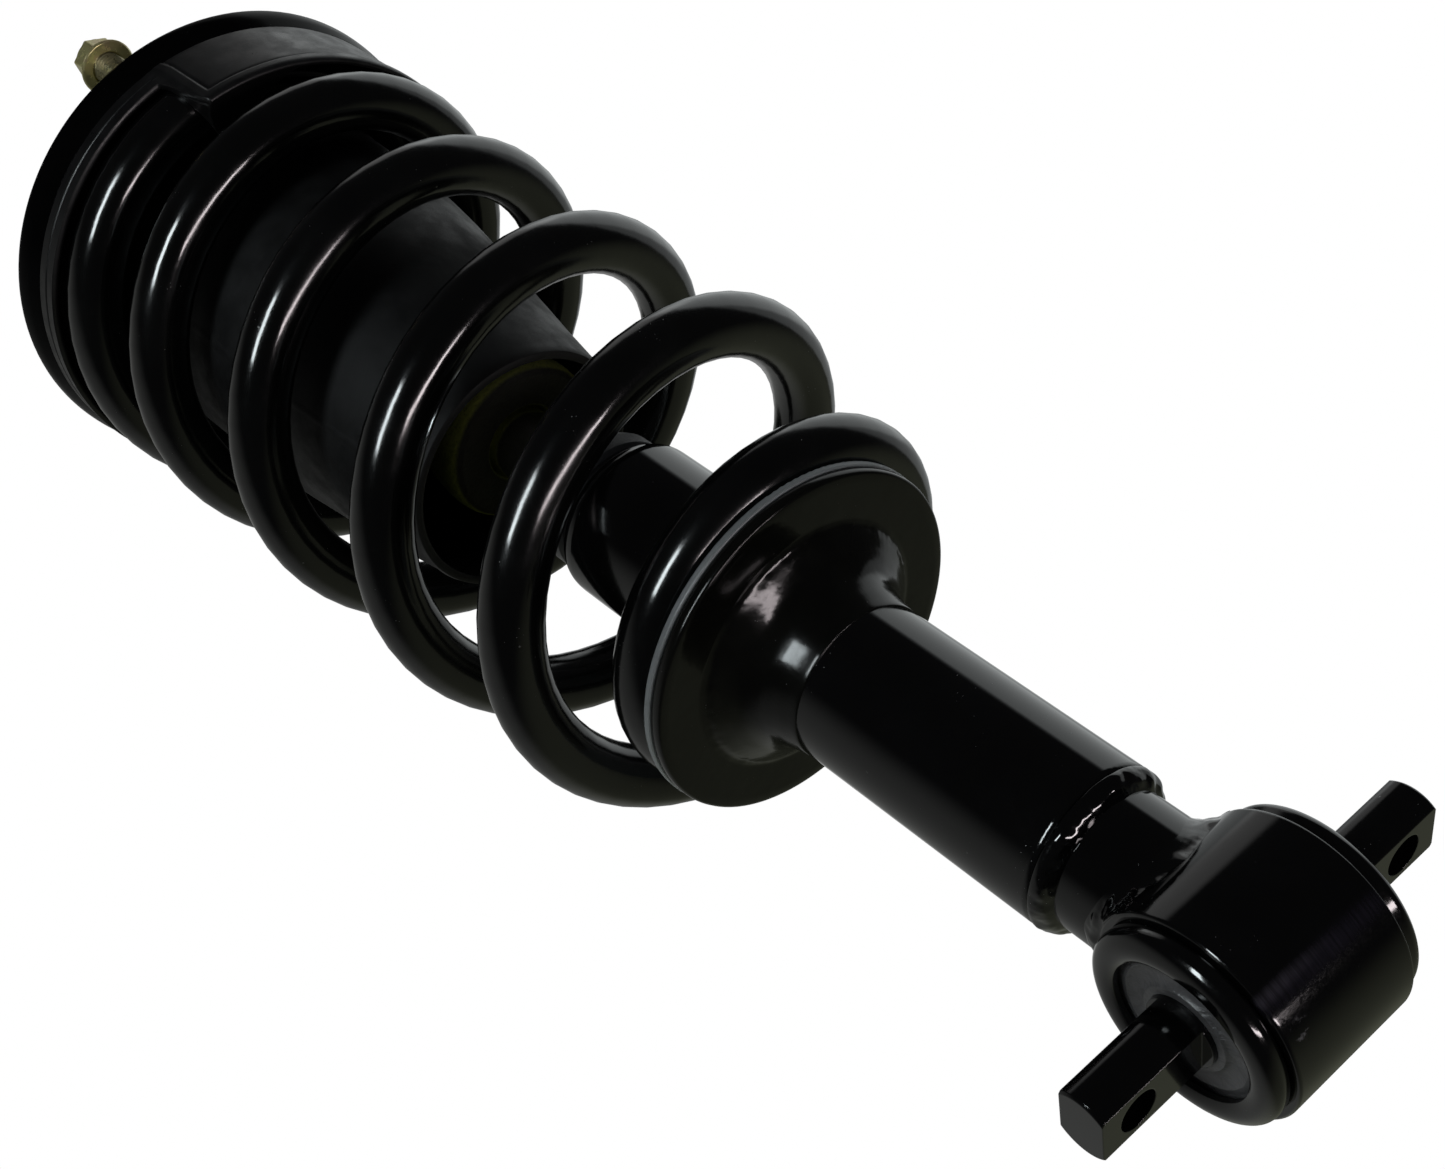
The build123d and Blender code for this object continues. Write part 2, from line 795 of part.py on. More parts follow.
# Each function's name is its piece's label and file name.
pieces = (
    bar_pin, eye_sleeve, bush_can, bush_rubber, base_stub, eye_weld, tube_weld,
    reservoir_tube, base_cap, base_valve, pressure_tube, rod_guide, guide_bushing,
    oil_seal, striker_cap, lower_seat, seat_weld, seat_pad, coil_spring,
    piston_rod, rebound_stop, piston, piston_band, valve_shims, piston_nut,
    bump_stop, bump_cup, dust_boot, insulator, mount_plate, cup_retainer,
    mount_cushion, core_sleeve, rod_washer, rod_nut, mount_studs, stud_nuts,
)

os.makedirs("parts", exist_ok=True)
for build in pieces:
    part = build()
    part.label = build.__name__
    export_step(part, f"parts/{build.__name__}.step")
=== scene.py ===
"""Coil-over strut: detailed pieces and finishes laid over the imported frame.

The strut stands upright: Z runs up the damper axis from the centre of the lower eye, and the eye's
bar lies along X. Pieces are drawn in millimetres, scene and materials are in metres.
"""
import math

import bpy
from mathutils import Matrix, Vector, noise


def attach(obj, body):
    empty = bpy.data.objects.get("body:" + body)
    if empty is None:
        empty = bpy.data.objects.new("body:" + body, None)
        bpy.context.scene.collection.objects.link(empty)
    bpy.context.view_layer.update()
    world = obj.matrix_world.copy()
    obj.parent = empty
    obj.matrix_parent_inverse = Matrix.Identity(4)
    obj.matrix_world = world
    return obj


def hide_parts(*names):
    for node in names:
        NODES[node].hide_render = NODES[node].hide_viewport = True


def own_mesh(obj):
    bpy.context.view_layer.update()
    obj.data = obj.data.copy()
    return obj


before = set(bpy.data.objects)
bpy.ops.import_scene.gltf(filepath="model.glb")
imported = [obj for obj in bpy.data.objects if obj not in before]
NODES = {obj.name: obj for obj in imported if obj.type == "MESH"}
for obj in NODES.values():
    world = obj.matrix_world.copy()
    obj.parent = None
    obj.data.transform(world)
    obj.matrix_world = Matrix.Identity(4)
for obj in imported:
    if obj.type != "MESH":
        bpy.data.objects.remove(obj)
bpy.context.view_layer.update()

MM = 0.001
TAU = math.tau
TOP, DAMPER = "top_mount", "damper_body"  # the bodies that pieces ride on


# ---------------------------------------------------------------- shapes
def wobble(angle, radius, z, seed):
    """Smooth repeatable noise in -1..1 at a place round Z, radius and z in noise cells."""
    x, y = radius * math.cos(angle), radius * math.sin(angle)
    return noise.noise(Vector((x + 31.7 * seed, y - 17.3 * seed, z + 5.1 * seed)))


def smoothstep(low, high, x):
    t = min(1.0, max(0.0, (x - low) / (high - low)))
    return t * t * (3 - 2 * t)


def bell(x, centre, width):
    return math.exp(-(((x - centre) / width) ** 2))


def catmull(points, per_span):
    """A smooth line through the points."""
    line = []
    for i in range(len(points) - 1):
        spans = list(zip(points[max(i - 1, 0)], points[i],
                         points[i + 1], points[min(i + 2, len(points) - 1)]))
        for k in range(per_span):
            t = k / per_span
            line.append(tuple(
                0.5 * (2 * b + (c - a) * t + (2 * a - 5 * b + 4 * c - d) * t * t
                       + (3 * b - a - 3 * c + d) * t**3)
                for a, b, c, d in spans
            ))
    line.append(tuple(points[-1]))
    return line


def lathe(profile, segs, shape=None, closed=True):
    """Turn a profile of (radius, z) about Z, a zero radius making a single point.

    shape(radius, z, angle, row) gives the moved (radius, z) or (x, y, z).
    """
    verts, faces, rings = [], [], []
    for row, (radius, z) in enumerate(profile):
        if radius < 1e-6:
            rings.append([len(verts)])
            verts.append((0.0, 0.0, z))
            continue
        rings.append(list(range(len(verts), len(verts) + segs)))
        for k in range(segs):
            angle = TAU * k / segs
            point = shape(radius, z, angle, row) if shape else (radius, z)
            if len(point) == 2:
                point = (point[0] * math.cos(angle), point[0] * math.sin(angle), point[1])
            verts.append(point)
    pairs = list(zip(rings, rings[1:]))
    if closed:
        pairs.append((rings[-1], rings[0]))
    for here, ahead in pairs:
        for k in range(segs):
            n = (k + 1) % segs
            if len(here) == 1:
                faces.append((here[0], ahead[n], ahead[k]))
            elif len(ahead) == 1:
                faces.append((here[k], here[n], ahead[0]))
            else:
                faces.append((here[k], here[n], ahead[n], ahead[k]))
    return verts, faces


def loft(loops, flipped=False):
    """Skin equal closed loops of points, the last one joined back to the first."""
    verts = [point for loop in loops for point in loop]
    size = len(loops[0])
    faces = []
    for i in range(len(loops)):
        here, ahead = i * size, (i + 1) % len(loops) * size
        for k in range(size):
            n = (k + 1) % size
            if flipped:
                faces.append((here + k, ahead + k, ahead + n, here + n))
            else:
                faces.append((here + k, here + n, ahead + n, ahead + k))
    return verts, faces


def join_parts(parts):
    verts, faces = [], []
    for part_verts, part_faces in parts:
        base = len(verts)
        verts += part_verts
        faces += [tuple(i + base for i in face) for face in part_faces]
    return verts, faces


def placed(part, dx, dy, turn):
    """Turn a part about Z, then move it sideways."""
    c, s = math.cos(turn), math.sin(turn)
    return [(c * x - s * y + dx, s * x + c * y + dy, z) for x, y, z in part[0]], part[1]


def add_piece(name, part, body, material, replaced, sharp=38.0):
    """Make a smooth object from a part; edges over the sharp angle (degrees) stay crisp."""
    verts, faces = part
    mesh = bpy.data.meshes.new(name)
    mesh.from_pydata([(x * MM, y * MM, z * MM) for x, y, z in verts], [], faces)
    mesh.validate()
    mesh.update()
    mesh.materials.append(material)
    mesh.polygons.foreach_set("use_smooth", [True] * len(mesh.polygons))
    mesh.set_sharp_from_angle(angle=math.radians(sharp))
    piece = bpy.data.objects.new(name, mesh)
    bpy.context.scene.collection.objects.link(piece)
    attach(piece, body)
    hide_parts(replaced)
    return piece


# ---------------------------------------------------------------- nodes
def cleared_tree(owner):
    """The empty node tree of a material or world."""
    owner.use_nodes = True
    owner.node_tree.nodes.clear()
    return owner.node_tree


def add_node(tree, kind, inputs=None, **settings):
    """Add a node; each input is either a socket to link from or a plain value."""
    node = tree.nodes.new(kind)
    for key, value in settings.items():
        setattr(node, key, value)
    for socket, value in (inputs or {}).items():
        if isinstance(value, bpy.types.NodeSocket):
            tree.links.new(value, node.inputs[socket])
        else:
            node.inputs[socket].default_value = value
    return node


def smooth_range(tree, value, span, to):
    """Take a value over a span smoothly onto another range."""
    return add_node(tree, "ShaderNodeMapRange", {
        "Value": value, "From Min": span[0], "From Max": span[1],
        "To Min": to[0], "To Max": to[1],
    }, interpolation_type="SMOOTHSTEP").outputs["Result"]


def scaled(colour, factor):
    return tuple(c * factor for c in colour)


class Shader:
    """A material under construction, its textures laid in object space (metres)."""

    def __init__(self, name):
        self.material = bpy.data.materials.new(name)
        self.tree = cleared_tree(self.material)
        self.output = self.add("ShaderNodeOutputMaterial")
        self.coords = self.add("ShaderNodeTexCoord").outputs["Object"]

    def add(self, kind, inputs=None, **settings):
        return add_node(self.tree, kind, inputs, **settings)

    def stretched(self, scale, turn=0.0):
        return self.add("ShaderNodeMapping", {
            "Vector": self.coords, "Scale": scale, "Rotation": (0, 0, turn)}).outputs["Vector"]

    def noise(self, scale=1.0, detail=3.0, rough=0.55, dist=0.0, stretch=None, turn=0.0):
        return self.add("ShaderNodeTexNoise", {
            "Vector": self.stretched(stretch, turn) if stretch else self.coords,
            "Scale": scale, "Detail": detail, "Roughness": rough, "Distortion": dist,
        }).outputs[0]

    def cells(self, scale):
        return self.add("ShaderNodeTexVoronoi", {
            "Vector": self.coords, "Scale": scale}).outputs["Distance"]

    def ramp(self, value, span, to=(0.0, 1.0)):
        return smooth_range(self.tree, value, span, to)

    def math(self, operation, a, b):
        return self.add("ShaderNodeMath", {0: a, 1: b}, operation=operation).outputs[0]

    def mix(self, factor, a, b):
        a, b = ((*c, 1.0) if isinstance(c, tuple) else c for c in (a, b))
        return self.add("ShaderNodeMix", {0: factor, 6: a, 7: b}, data_type="RGBA").outputs[2]

    def specks(self, scale, size, patch_scale, patch):
        """Dots of a size span (in cells), kept only where a noise passes the patch span."""
        return self.math("MULTIPLY", self.ramp(self.cells(scale), size),
                         self.ramp(self.noise(patch_scale, detail=2), patch))

    def near(self, place, inner, outer, squeeze=None):
        """1 within inner of a place (mm), 0 beyond outer; squeeze shortens distances along X."""
        x, y, z = place
        at = self.stretched((squeeze, 1.0, 1.0)) if squeeze else self.coords
        distance = self.add("ShaderNodeVectorMath", {
            0: at, 1: (x * (squeeze or 1.0) * MM, y * MM, z * MM)}, operation="DISTANCE")
        return self.ramp(distance.outputs["Value"], (inner * MM, outer * MM), (1.0, 0.0))

    def height(self):
        return self.add("ShaderNodeSeparateXYZ", {0: self.coords}).outputs["Z"]

    def bump(self, height, distance, normal=None, strength=1.0):
        inputs = {"Strength": strength, "Distance": distance, "Height": height}
        if normal is not None:
            inputs["Normal"] = normal
        return self.add("ShaderNodeBump", inputs).outputs["Normal"]

    def bevel(self, radius):
        """Normals rounded over edges; none for a zero radius."""
        if not radius:
            return None
        return self.add("ShaderNodeBevel", {"Radius": radius}, samples=4).outputs["Normal"]

    def finish(self, colour, rough, normal, metallic=0.0, spec=0.5):
        surface = self.add("ShaderNodeBsdfPrincipled", {
            "Base Color": colour, "Roughness": rough, "Metallic": metallic,
            "Specular IOR Level": spec, "Coat Roughness": 0.1,
            "Normal": normal, "Coat Normal": normal,
        })
        self.tree.links.new(surface.outputs[0], self.output.inputs["Surface"])
        return self.material


# ---------------------------------------------------------------- materials
# In all of them: spans and noise scales are per metre, bump depths and edge radii in metres.
def paint(name, rough, spread, peel, peel_scale, dust, edge=6e-4, tint=(0.0035, 0.0036, 0.0038),
          grey=(0.2, 0.2, 0.2), spec=0.5, runs=0.0, brushed=None, scuffs=(), painted_sheen=()):
    """Sprayed black paint: faint peel, dust specks in grey, small chips and scuffs, and optional
    bands of painted highlight.

    runs is the depth of sagging, brushed the stretch of fine lines. spec is a value, or a span
    of heights with the values at its ends.
    """
    m = Shader(name)
    big = m.noise(38, detail=4, rough=0.6)
    fine = m.noise(1500, detail=2, rough=0.5)
    roughness = m.math("ADD", m.ramp(big, (0.3, 0.75), (rough - spread, rough + spread)),
                       m.ramp(fine, (0.35, 0.65), (-0.015, 0.015)))
    base = m.mix(m.ramp(big, (0.35, 0.7)), tint, scaled(tint, 1.7))
    speck = m.specks(620, size=(0.10, 0.05), patch_scale=75, patch=(0.58, 0.66))
    chip = m.specks(240, size=(0.09, 0.06), patch_scale=31, patch=(0.62, 0.68))
    dirt = m.math("MULTIPLY", m.math("MAXIMUM", speck, m.math("MULTIPLY", chip, 0.6)), dust)
    for place, inner, outer, stretch, turn, colour, gain in scuffs:
        streaks = m.noise(rough=0.6, stretch=stretch, turn=turn)
        mark = m.math("MULTIPLY", m.near(place, inner, outer),
                      m.ramp(streaks, (0.52, 0.70), (0.0, gain)))
        base = m.mix(mark, base, colour)
        roughness = m.math("ADD", roughness, m.math("MULTIPLY", mark, 0.3))
    # painted highlight: pale streaky bands laid into the base colour where a soft sheen of light
    # shows on fine scratches
    for place, inner, outer, squeeze, colour, gain in painted_sheen:
        lines = m.ramp(m.noise(rough=0.6, stretch=(1500, 45, 45)), (0.3, 0.7), (0.35, 1.0))
        mark = m.math("MULTIPLY", m.near(place, inner, outer, squeeze),
                      m.math("MULTIPLY", lines, gain))
        base = m.mix(mark, base, colour)
    base = m.mix(dirt, base, grey)
    roughness = m.math("ADD", roughness, m.math("MULTIPLY", dirt, 0.35))
    normal = m.bevel(edge)
    if runs:
        normal = m.bump(m.noise(rough=0.5, stretch=(120, 120, 60)), runs, normal)
    if brushed:
        normal = m.bump(m.noise(detail=2, rough=0.6, stretch=brushed), 3e-6, normal)
    normal = m.bump(m.noise(peel_scale, detail=2, rough=0.4), peel, normal)
    normal = m.bump(dirt, 3e-5, normal)
    if isinstance(spec, tuple):
        spec = m.ramp(m.height(), *spec)
    return m.finish(base, roughness, normal, spec=spec)


def rubber(name, tone, rough, mottle, grain=6e-5, spec=0.35, bloom=0.0, edge=6e-4, rings=None):
    """Grey-black rubber, mottled, with a paler bloom; rings is the stretch of moulded folds."""
    m = Shader(name)
    big = m.noise(24, detail=5, rough=0.65, dist=0.6)
    mid = m.noise(130, detail=4, rough=0.6)
    fine = m.noise(2400, rough=0.6)
    dark = scaled((1 - mottle, 1 - mottle, 1.03 - mottle), tone)
    light = scaled((1 + mottle, 1.01 + mottle, 1.06 + mottle), tone)
    base = m.mix(m.ramp(big, (0.32, 0.7)), dark, light)
    base = m.mix(m.math("MULTIPLY", m.ramp(mid, (0.55, 0.8)), 0.4 + bloom), base,
                 scaled((2.0, 2.05, 2.15), tone))
    speck = m.specks(700, size=(0.08, 0.04), patch_scale=60, patch=(0.6, 0.68))
    base = m.mix(m.math("MULTIPLY", speck, 0.5), base, (0.12, 0.12, 0.12))
    roughness = m.math("ADD", m.ramp(mid, (0.3, 0.7), (rough - 0.08, rough + 0.08)),
                       m.ramp(fine, (0.3, 0.7), (-0.04, 0.04)))
    normal = m.bevel(edge)
    if rings:
        normal = m.bump(m.noise(detail=4, rough=0.6, dist=2.5, stretch=rings), 7e-4, normal)
    normal = m.bump(fine, grain, normal)
    normal = m.bump(mid, 3e-5, normal, strength=0.6)
    return m.finish(base, roughness, normal, spec=spec)


def metal(name, colour, rough, vary, lines=(900, 900, 60), depth=2e-5, edge=3e-4, metallic=1.0,
          stain=None):
    """Metal with tool lines of a given stretch and depth, small pits and an optional stain."""
    m = Shader(name)
    big = m.noise(70, detail=4, rough=0.6, dist=0.5)
    line = m.noise(detail=2, rough=0.6, stretch=lines)
    light = tuple(min(1.0, c * (1 + vary)) for c in colour)
    base = m.mix(m.ramp(big, (0.3, 0.7)), scaled(colour, 1 - vary), light)
    if stain:
        patches = m.ramp(m.noise(160, rough=0.6, dist=1.0), (0.45, 0.65))
        base = m.mix(m.math("MULTIPLY", patches, 0.4), base, stain)
    pit = m.specks(900, size=(0.10, 0.03), patch_scale=90, patch=(0.6, 0.7))
    base = m.mix(m.math("MULTIPLY", pit, 0.6), base, scaled(colour, 0.35))
    roughness = m.math("ADD", m.ramp(line, (0.3, 0.7), (rough - 0.07, rough + 0.08)),
                       m.math("MULTIPLY", pit, 0.2))
    normal = m.bump(line, depth, m.bevel(edge))
    normal = m.bump(pit, -4e-5, normal)
    return m.finish(base, roughness, normal, metallic=metallic)


def plastic(name, colour, rough, vary):
    """Moulded plastic with patches of dirt."""
    m = Shader(name)
    big = m.noise(45, detail=4, rough=0.6)
    fine = m.noise(1300, rough=0.5)
    base = m.mix(m.ramp(big, (0.3, 0.7)), scaled(colour, 1 - vary), scaled(colour, 1 + vary))
    dirt = m.math("MULTIPLY", m.ramp(m.noise(210, detail=4, rough=0.7), (0.56, 0.75)), 0.5)
    base = m.mix(dirt, base, scaled(colour, 0.55))
    roughness = m.ramp(fine, (0.3, 0.7), (rough - 0.06, rough + 0.08))
    return m.finish(base, roughness, m.bump(fine, 4e-5, m.bevel(4e-4)))


def foam(name):
    """Yellow cellular foam, with painted shade in its pores and on its lower face."""
    m = Shader(name)
    cell = m.cells(900)
    big = m.noise(60, detail=4, rough=0.6)
    base = m.mix(m.ramp(big, (0.3, 0.7)), (0.20, 0.23, 0.025), (0.28, 0.30, 0.04))
    # painted shade: the pores at the cell centres are darkened where shade would fall in them
    base = m.mix(m.math("MULTIPLY", m.ramp(cell, (0.35, 0.1)), 0.5), base, (0.08, 0.09, 0.01))
    # painted shade: the lower face is darkened to stand in for the deep shade it lies in inside
    # the boot; the sides keep the foam's colour
    face = m.ramp(m.height(), (0.2688, 0.2700), (1.0, 0.0))
    base = m.mix(m.math("MULTIPLY", face, 0.96), base, (0.006, 0.006, 0.004))
    normal = m.bump(cell, 2.5e-4, strength=0.8)
    normal = m.bump(m.noise(350, detail=4), 3e-4, normal, strength=0.6)
    return m.finish(base, m.ramp(big, (0.3, 0.7), (0.75, 0.9)), normal, spec=0.25)


# scuffs along the eye's lower side:
# place (mm), inner and outer reach (mm), streak stretch, streak turn, colour, gain
EYE_SCUFFS = (
    ((-14.5, -15.4, -24.0), 1.2, 3.4, (240, 330, 330), 0.5, (0.55, 0.53, 0.58), 0.9),
    ((5.2, -15.6, -23.9), 0.4, 1.1, (300, 300, 300), 0, (0.8, 0.8, 0.85), 1.0),
    ((11.4, -17.1, -22.8), 0.3, 0.9, (500, 300, 300), 0.2, (0.7, 0.7, 0.75), 1.0),
    ((-22.0, -16.0, -23.6), 0.5, 1.6, (400, 300, 300), 0, (0.6, 0.6, 0.65), 0.9),
)
# painted highlight on the eye, a soft sheen over fine scratches laid into the colour: place (mm),
# inner and outer reach (mm), squeeze along X, colour, gain
EYE_PAINTED_SHEEN = (
    ((-15.0, -22.9, -16.9), 0.1, 2.6, 0.12, (0.30, 0.27, 0.34), 0.30),
    ((2.0, -21.8, -18.2), 0.1, 4.4, 0.10, (0.16, 0.135, 0.22), 0.20),
)
eye_paint = paint("paint_eye", rough=0.09, spread=0.03, peel=4e-6, peel_scale=300, dust=0.9,
                  scuffs=EYE_SCUFFS, painted_sheen=EYE_PAINTED_SHEEN)
tube_paint = paint("paint_tube", rough=0.07, spread=0.025, peel=5e-6, peel_scale=180, dust=0.8,
                   brushed=(260, 260, 700))
weld_paint = paint("paint_weld", rough=0.1, spread=0.04, peel=1.2e-5, peel_scale=700, dust=0.8,
                   edge=0.0, grey=(0.4, 0.4, 0.4))
seat_paint = paint("paint_seat_dish", rough=0.12, spread=0.05, peel=7e-6, peel_scale=260,
                   dust=0.9, runs=1.2e-4, tint=(0.0070, 0.0072, 0.0062), spec=0.22)
bar_paint = paint("paint_bar", rough=0.1, spread=0.04, peel=6e-6, peel_scale=900, dust=1.0,
                  edge=5e-4, grey=(0.28, 0.28, 0.28))
can_paint = paint("paint_can", rough=0.12, spread=0.04, peel=8e-6, peel_scale=500, dust=0.9,
                  edge=3e-4)
# the plate is duller below its underside's height than above it
plate_paint = paint("paint_plate", rough=0.15, spread=0.04, peel=4e-6, peel_scale=320, dust=0.8,
                    spec=((0.4320, 0.4330), (0.015, 0.5)))
coil_coat = paint("coat_coil", rough=0.15, spread=0.04, peel=7e-6, peel_scale=520, dust=0.8,
                  edge=0.0, tint=(0.0035, 0.0038, 0.0038), grey=(0.3, 0.3, 0.3))

insulator_rubber = rubber("rubber_insulator", tone=0.012, rough=0.38, mottle=0.22, grain=2e-5,
                          spec=0.3, bloom=0.1, edge=0.0)
boot_rubber = rubber("rubber_boot", tone=0.015, rough=0.55, mottle=0.4, grain=2e-5, spec=0.22,
                     bloom=0.15, edge=5e-4)
bush_rubber = rubber("rubber_bush", tone=0.165, rough=0.42, mottle=0.3, spec=0.5, bloom=0.3,
                     edge=4e-4, rings=(30, 170, 110))
cushion_rubber = rubber("rubber_cushion", tone=0.035, rough=0.6, mottle=0.3)
seal_rubber = rubber("rubber_seal", tone=0.03, rough=0.45, mottle=0.2, grain=3e-5, spec=0.5)

pad_plastic = plastic("pad_plastic", (0.46, 0.50, 0.51), rough=0.42, vary=0.06)
black_plastic = plastic("black_plastic", (0.022, 0.022, 0.024), rough=0.4, vary=0.2)
band_plastic = plastic("band_ptfe", (0.10, 0.085, 0.07), rough=0.4, vary=0.15)
stop_foam = foam("foam_stop")

yellow_zinc = metal("zinc_yellow", (1.0, 0.86, 0.40), rough=0.22, vary=0.12,
                    lines=(500, 500, 500), edge=2e-4, metallic=0.35, stain=(0.90, 0.62, 0.44))
olive_zinc = metal("zinc_olive", (0.46, 0.42, 0.25), rough=0.32, vary=0.2,
                   lines=(700, 700, 200), edge=0.0, metallic=0.6)
clear_zinc = metal("zinc_clear", (0.62, 0.64, 0.66), rough=0.28, vary=0.12)
chrome = metal("hard_chrome", (0.78, 0.79, 0.80), rough=0.08, vary=0.04,
               lines=(900, 900, 40), depth=4e-6)
steel = metal("turned_steel", (0.46, 0.46, 0.47), rough=0.3, vary=0.15, lines=(120, 120, 1500))
sinter = metal("sintered_iron", (0.24, 0.24, 0.25), rough=0.5, vary=0.25,
               lines=(900, 900, 900), depth=6e-5)
bronze = metal("bearing_bronze", (0.60, 0.42, 0.22), rough=0.35, vary=0.15,
               lines=(200, 200, 1200))

FINISH = {
    "bar_pin": bar_paint, "eye_sleeve": eye_paint, "bush_can": can_paint,
    "bush_rubber": bush_rubber, "base_stub": tube_paint, "eye_weld": weld_paint,
    "tube_weld": weld_paint, "seat_weld": weld_paint, "reservoir_tube": tube_paint,
    "base_cap": steel, "base_valve": sinter, "pressure_tube": steel, "rod_guide": sinter,
    "guide_bushing": bronze, "oil_seal": seal_rubber, "striker_cap": black_plastic,
    "lower_seat": seat_paint, "seat_pad": pad_plastic, "coil_spring": coil_coat,
    "piston_rod": chrome, "rebound_stop": steel, "piston": sinter, "piston_band": band_plastic,
    "valve_shims": steel, "piston_nut": clear_zinc, "bump_stop": stop_foam, "bump_cup": steel,
    "dust_boot": boot_rubber, "insulator": insulator_rubber, "mount_plate": plate_paint,
    "cup_retainer": bar_paint, "mount_cushion": cushion_rubber, "core_sleeve": steel,
    "rod_washer": clear_zinc, "rod_nut": clear_zinc, "mount_studs": olive_zinc,
    "stud_nuts": yellow_zinc,
}
for node_name, packed in NODES.items():
    packed.data.materials.clear()
    packed.data.materials.append(FINISH[node_name])

# ---------------------------------------------------------------- spring
# the wire's centre line: turns, z, radius round the axis
COIL_PATH = [
    (-0.40, 161.60, 39.9), (0.00, 161.60, 41.9), (0.20, 162.00, 45.3), (0.40, 164.40, 52.0),
    (0.70, 174.20, 58.9), (1.20, 201.90, 64.0), (1.70, 228.80, 63.6), (2.70, 290.60, 64.3),
    (3.70, 347.80, 64.7), (4.20, 371.80, 66.0), (4.70, 393.00, 66.8), (5.20, 408.40, 63.6),
    (5.70, 415.40, 62.0),
]
FIRST_TURN, LAST_TURN = -0.13, 5.55
TURN_ZERO = 193.5  # degrees round Z at turn 0
COIL_STEPS = 300
WIRE_RADIUS = 8.9
END_GAP = 0.006  # turns between each end and the full-size wire
END_TAPER = ((0.0015, 0.90), (0.004, 0.975))  # turns in from an end, share of the wire radius


def coil_value(turn, column):
    """A column of COIL_PATH at a turn, by cubic spans with smooth slopes."""
    rows = COIL_PATH

    def slope(i):
        before, after = rows[max(i - 1, 0)], rows[min(i + 1, len(rows) - 1)]
        return (after[column] - before[column]) / (after[0] - before[0])

    i = max(k for k in range(len(rows) - 1) if rows[k][0] <= turn)
    span = rows[i + 1][0] - rows[i][0]
    u = (turn - rows[i][0]) / span
    return (
        (2 * u**3 - 3 * u**2 + 1) * rows[i][column]
        + (u**3 - 2 * u**2 + u) * span * slope(i)
        + (3 * u**2 - 2 * u**3) * rows[i + 1][column]
        + (u**3 - u**2) * span * slope(i + 1)
    )


def wire_nodes():
    """Geometry nodes sweeping a round wire along the mesh line."""
    group = bpy.data.node_groups.new("round_wire", "GeometryNodeTree")
    for side in ("INPUT", "OUTPUT"):
        group.interface.new_socket("Geometry", in_out=side, socket_type="NodeSocketGeometry")
    source = add_node(group, "NodeGroupInput")
    curve = add_node(group, "GeometryNodeMeshToCurve", {"Mesh": source.outputs[0]})
    circle = add_node(group, "GeometryNodeCurvePrimitiveCircle", {
        "Resolution": 44, "Radius": WIRE_RADIUS * MM})
    wire = add_node(group, "GeometryNodeCurveToMesh", {
        "Curve": curve.outputs[0], "Profile Curve": circle.outputs[0], "Fill Caps": True})
    # Blender versions with a Scale input need the radius attribute passed in
    if "Scale" in wire.inputs:
        radius = add_node(group, "GeometryNodeInputNamedAttribute", {"Name": "radius"},
                          data_type="FLOAT")
        group.links.new(radius.outputs["Attribute"], wire.inputs["Scale"])
    smooth = add_node(group, "GeometryNodeSetShadeSmooth", {0: wire.outputs[0]})
    coated = add_node(group, "GeometryNodeSetMaterial", {
        "Geometry": smooth.outputs[0], "Material": coil_coat})
    add_node(group, "NodeGroupOutput", {0: coated.outputs[0]})
    return group


def coil_spring():
    full = LAST_TURN - FIRST_TURN - 2 * END_GAP
    stations = [(FIRST_TURN + inset, share) for inset, share in END_TAPER]
    stations += [(FIRST_TURN + END_GAP + full * k / COIL_STEPS, 1.0)
                 for k in range(COIL_STEPS + 1)]
    stations += [(LAST_TURN - inset, share) for inset, share in reversed(END_TAPER)]
    points = []
    for turn, _ in stations:
        angle = math.radians(TURN_ZERO + 360 * turn)
        z, radius = coil_value(turn, 1), coil_value(turn, 2)
        points.append((radius * math.cos(angle) * MM, radius * math.sin(angle) * MM, z * MM))
    mesh = bpy.data.meshes.new("coil_wire")
    mesh.from_pydata(points, [(i, i + 1) for i in range(len(points) - 1)], [])
    shares = mesh.attributes.new("radius", "FLOAT", "POINT")
    shares.data.foreach_set("value", [share for _, share in stations])
    mesh.materials.append(coil_coat)
    coil = bpy.data.objects.new("coil_wire", mesh)
    bpy.context.scene.collection.objects.link(coil)
    coil.modifiers.new("wire", "NODES").node_group = wire_nodes()
    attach(coil, TOP)
    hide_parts("coil_spring")
    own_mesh(coil)


coil_spring()

# ---------------------------------------------------------------- bump stop
STOP_TOP, STOP_FOOT = 376.0, 268.0
STOP_OUTSIDE = [  # radius, z
    (22.6, STOP_FOOT), (24.8, 270.6), (25.2, 276.0), (23.6, 286.0), (19.2, 293.0), (23.8, 300.0),
    (26.2, 309.0), (24.2, 319.0), (19.8, 326.0), (24.6, 333.0), (27.0, 343.0), (26.6, 358.0),
    (26.0, 369.0), (25.4, STOP_TOP),
]
STOP_INSIDE = [
    (18.0, STOP_TOP), (12.0, STOP_TOP), (12.0, 330.0), (12.0, 269.5), (14.0, STOP_FOOT),
    (18.0, STOP_FOOT),
]


def bump_stop():
    def uneven(radius, z, angle, row):
        if radius > 12.5 and STOP_FOOT + 0.2 < z < STOP_TOP - 0.2:
            radius += 0.18 * wobble(angle, radius / 6, z / 6, 1)
        return radius, z

    part = lathe(catmull(STOP_OUTSIDE, 5) + STOP_INSIDE, 96, uneven)
    stop = add_piece("bump_stop_foam", part, TOP, stop_foam, "bump_stop")
    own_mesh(stop)


bump_stop()


# ---------------------------------------------------------------- welds
def add_weld(name, part, replaced):
    add_piece(name, part, DAMPER, weld_paint, replaced, sharp=80)


def ripple(angle, count, seed):
    """Uneven weld ripples round the axis, 0..1."""
    return 0.5 + 0.5 * math.sin(angle * count + 3.0 * wobble(angle, 2.5, 0, seed))


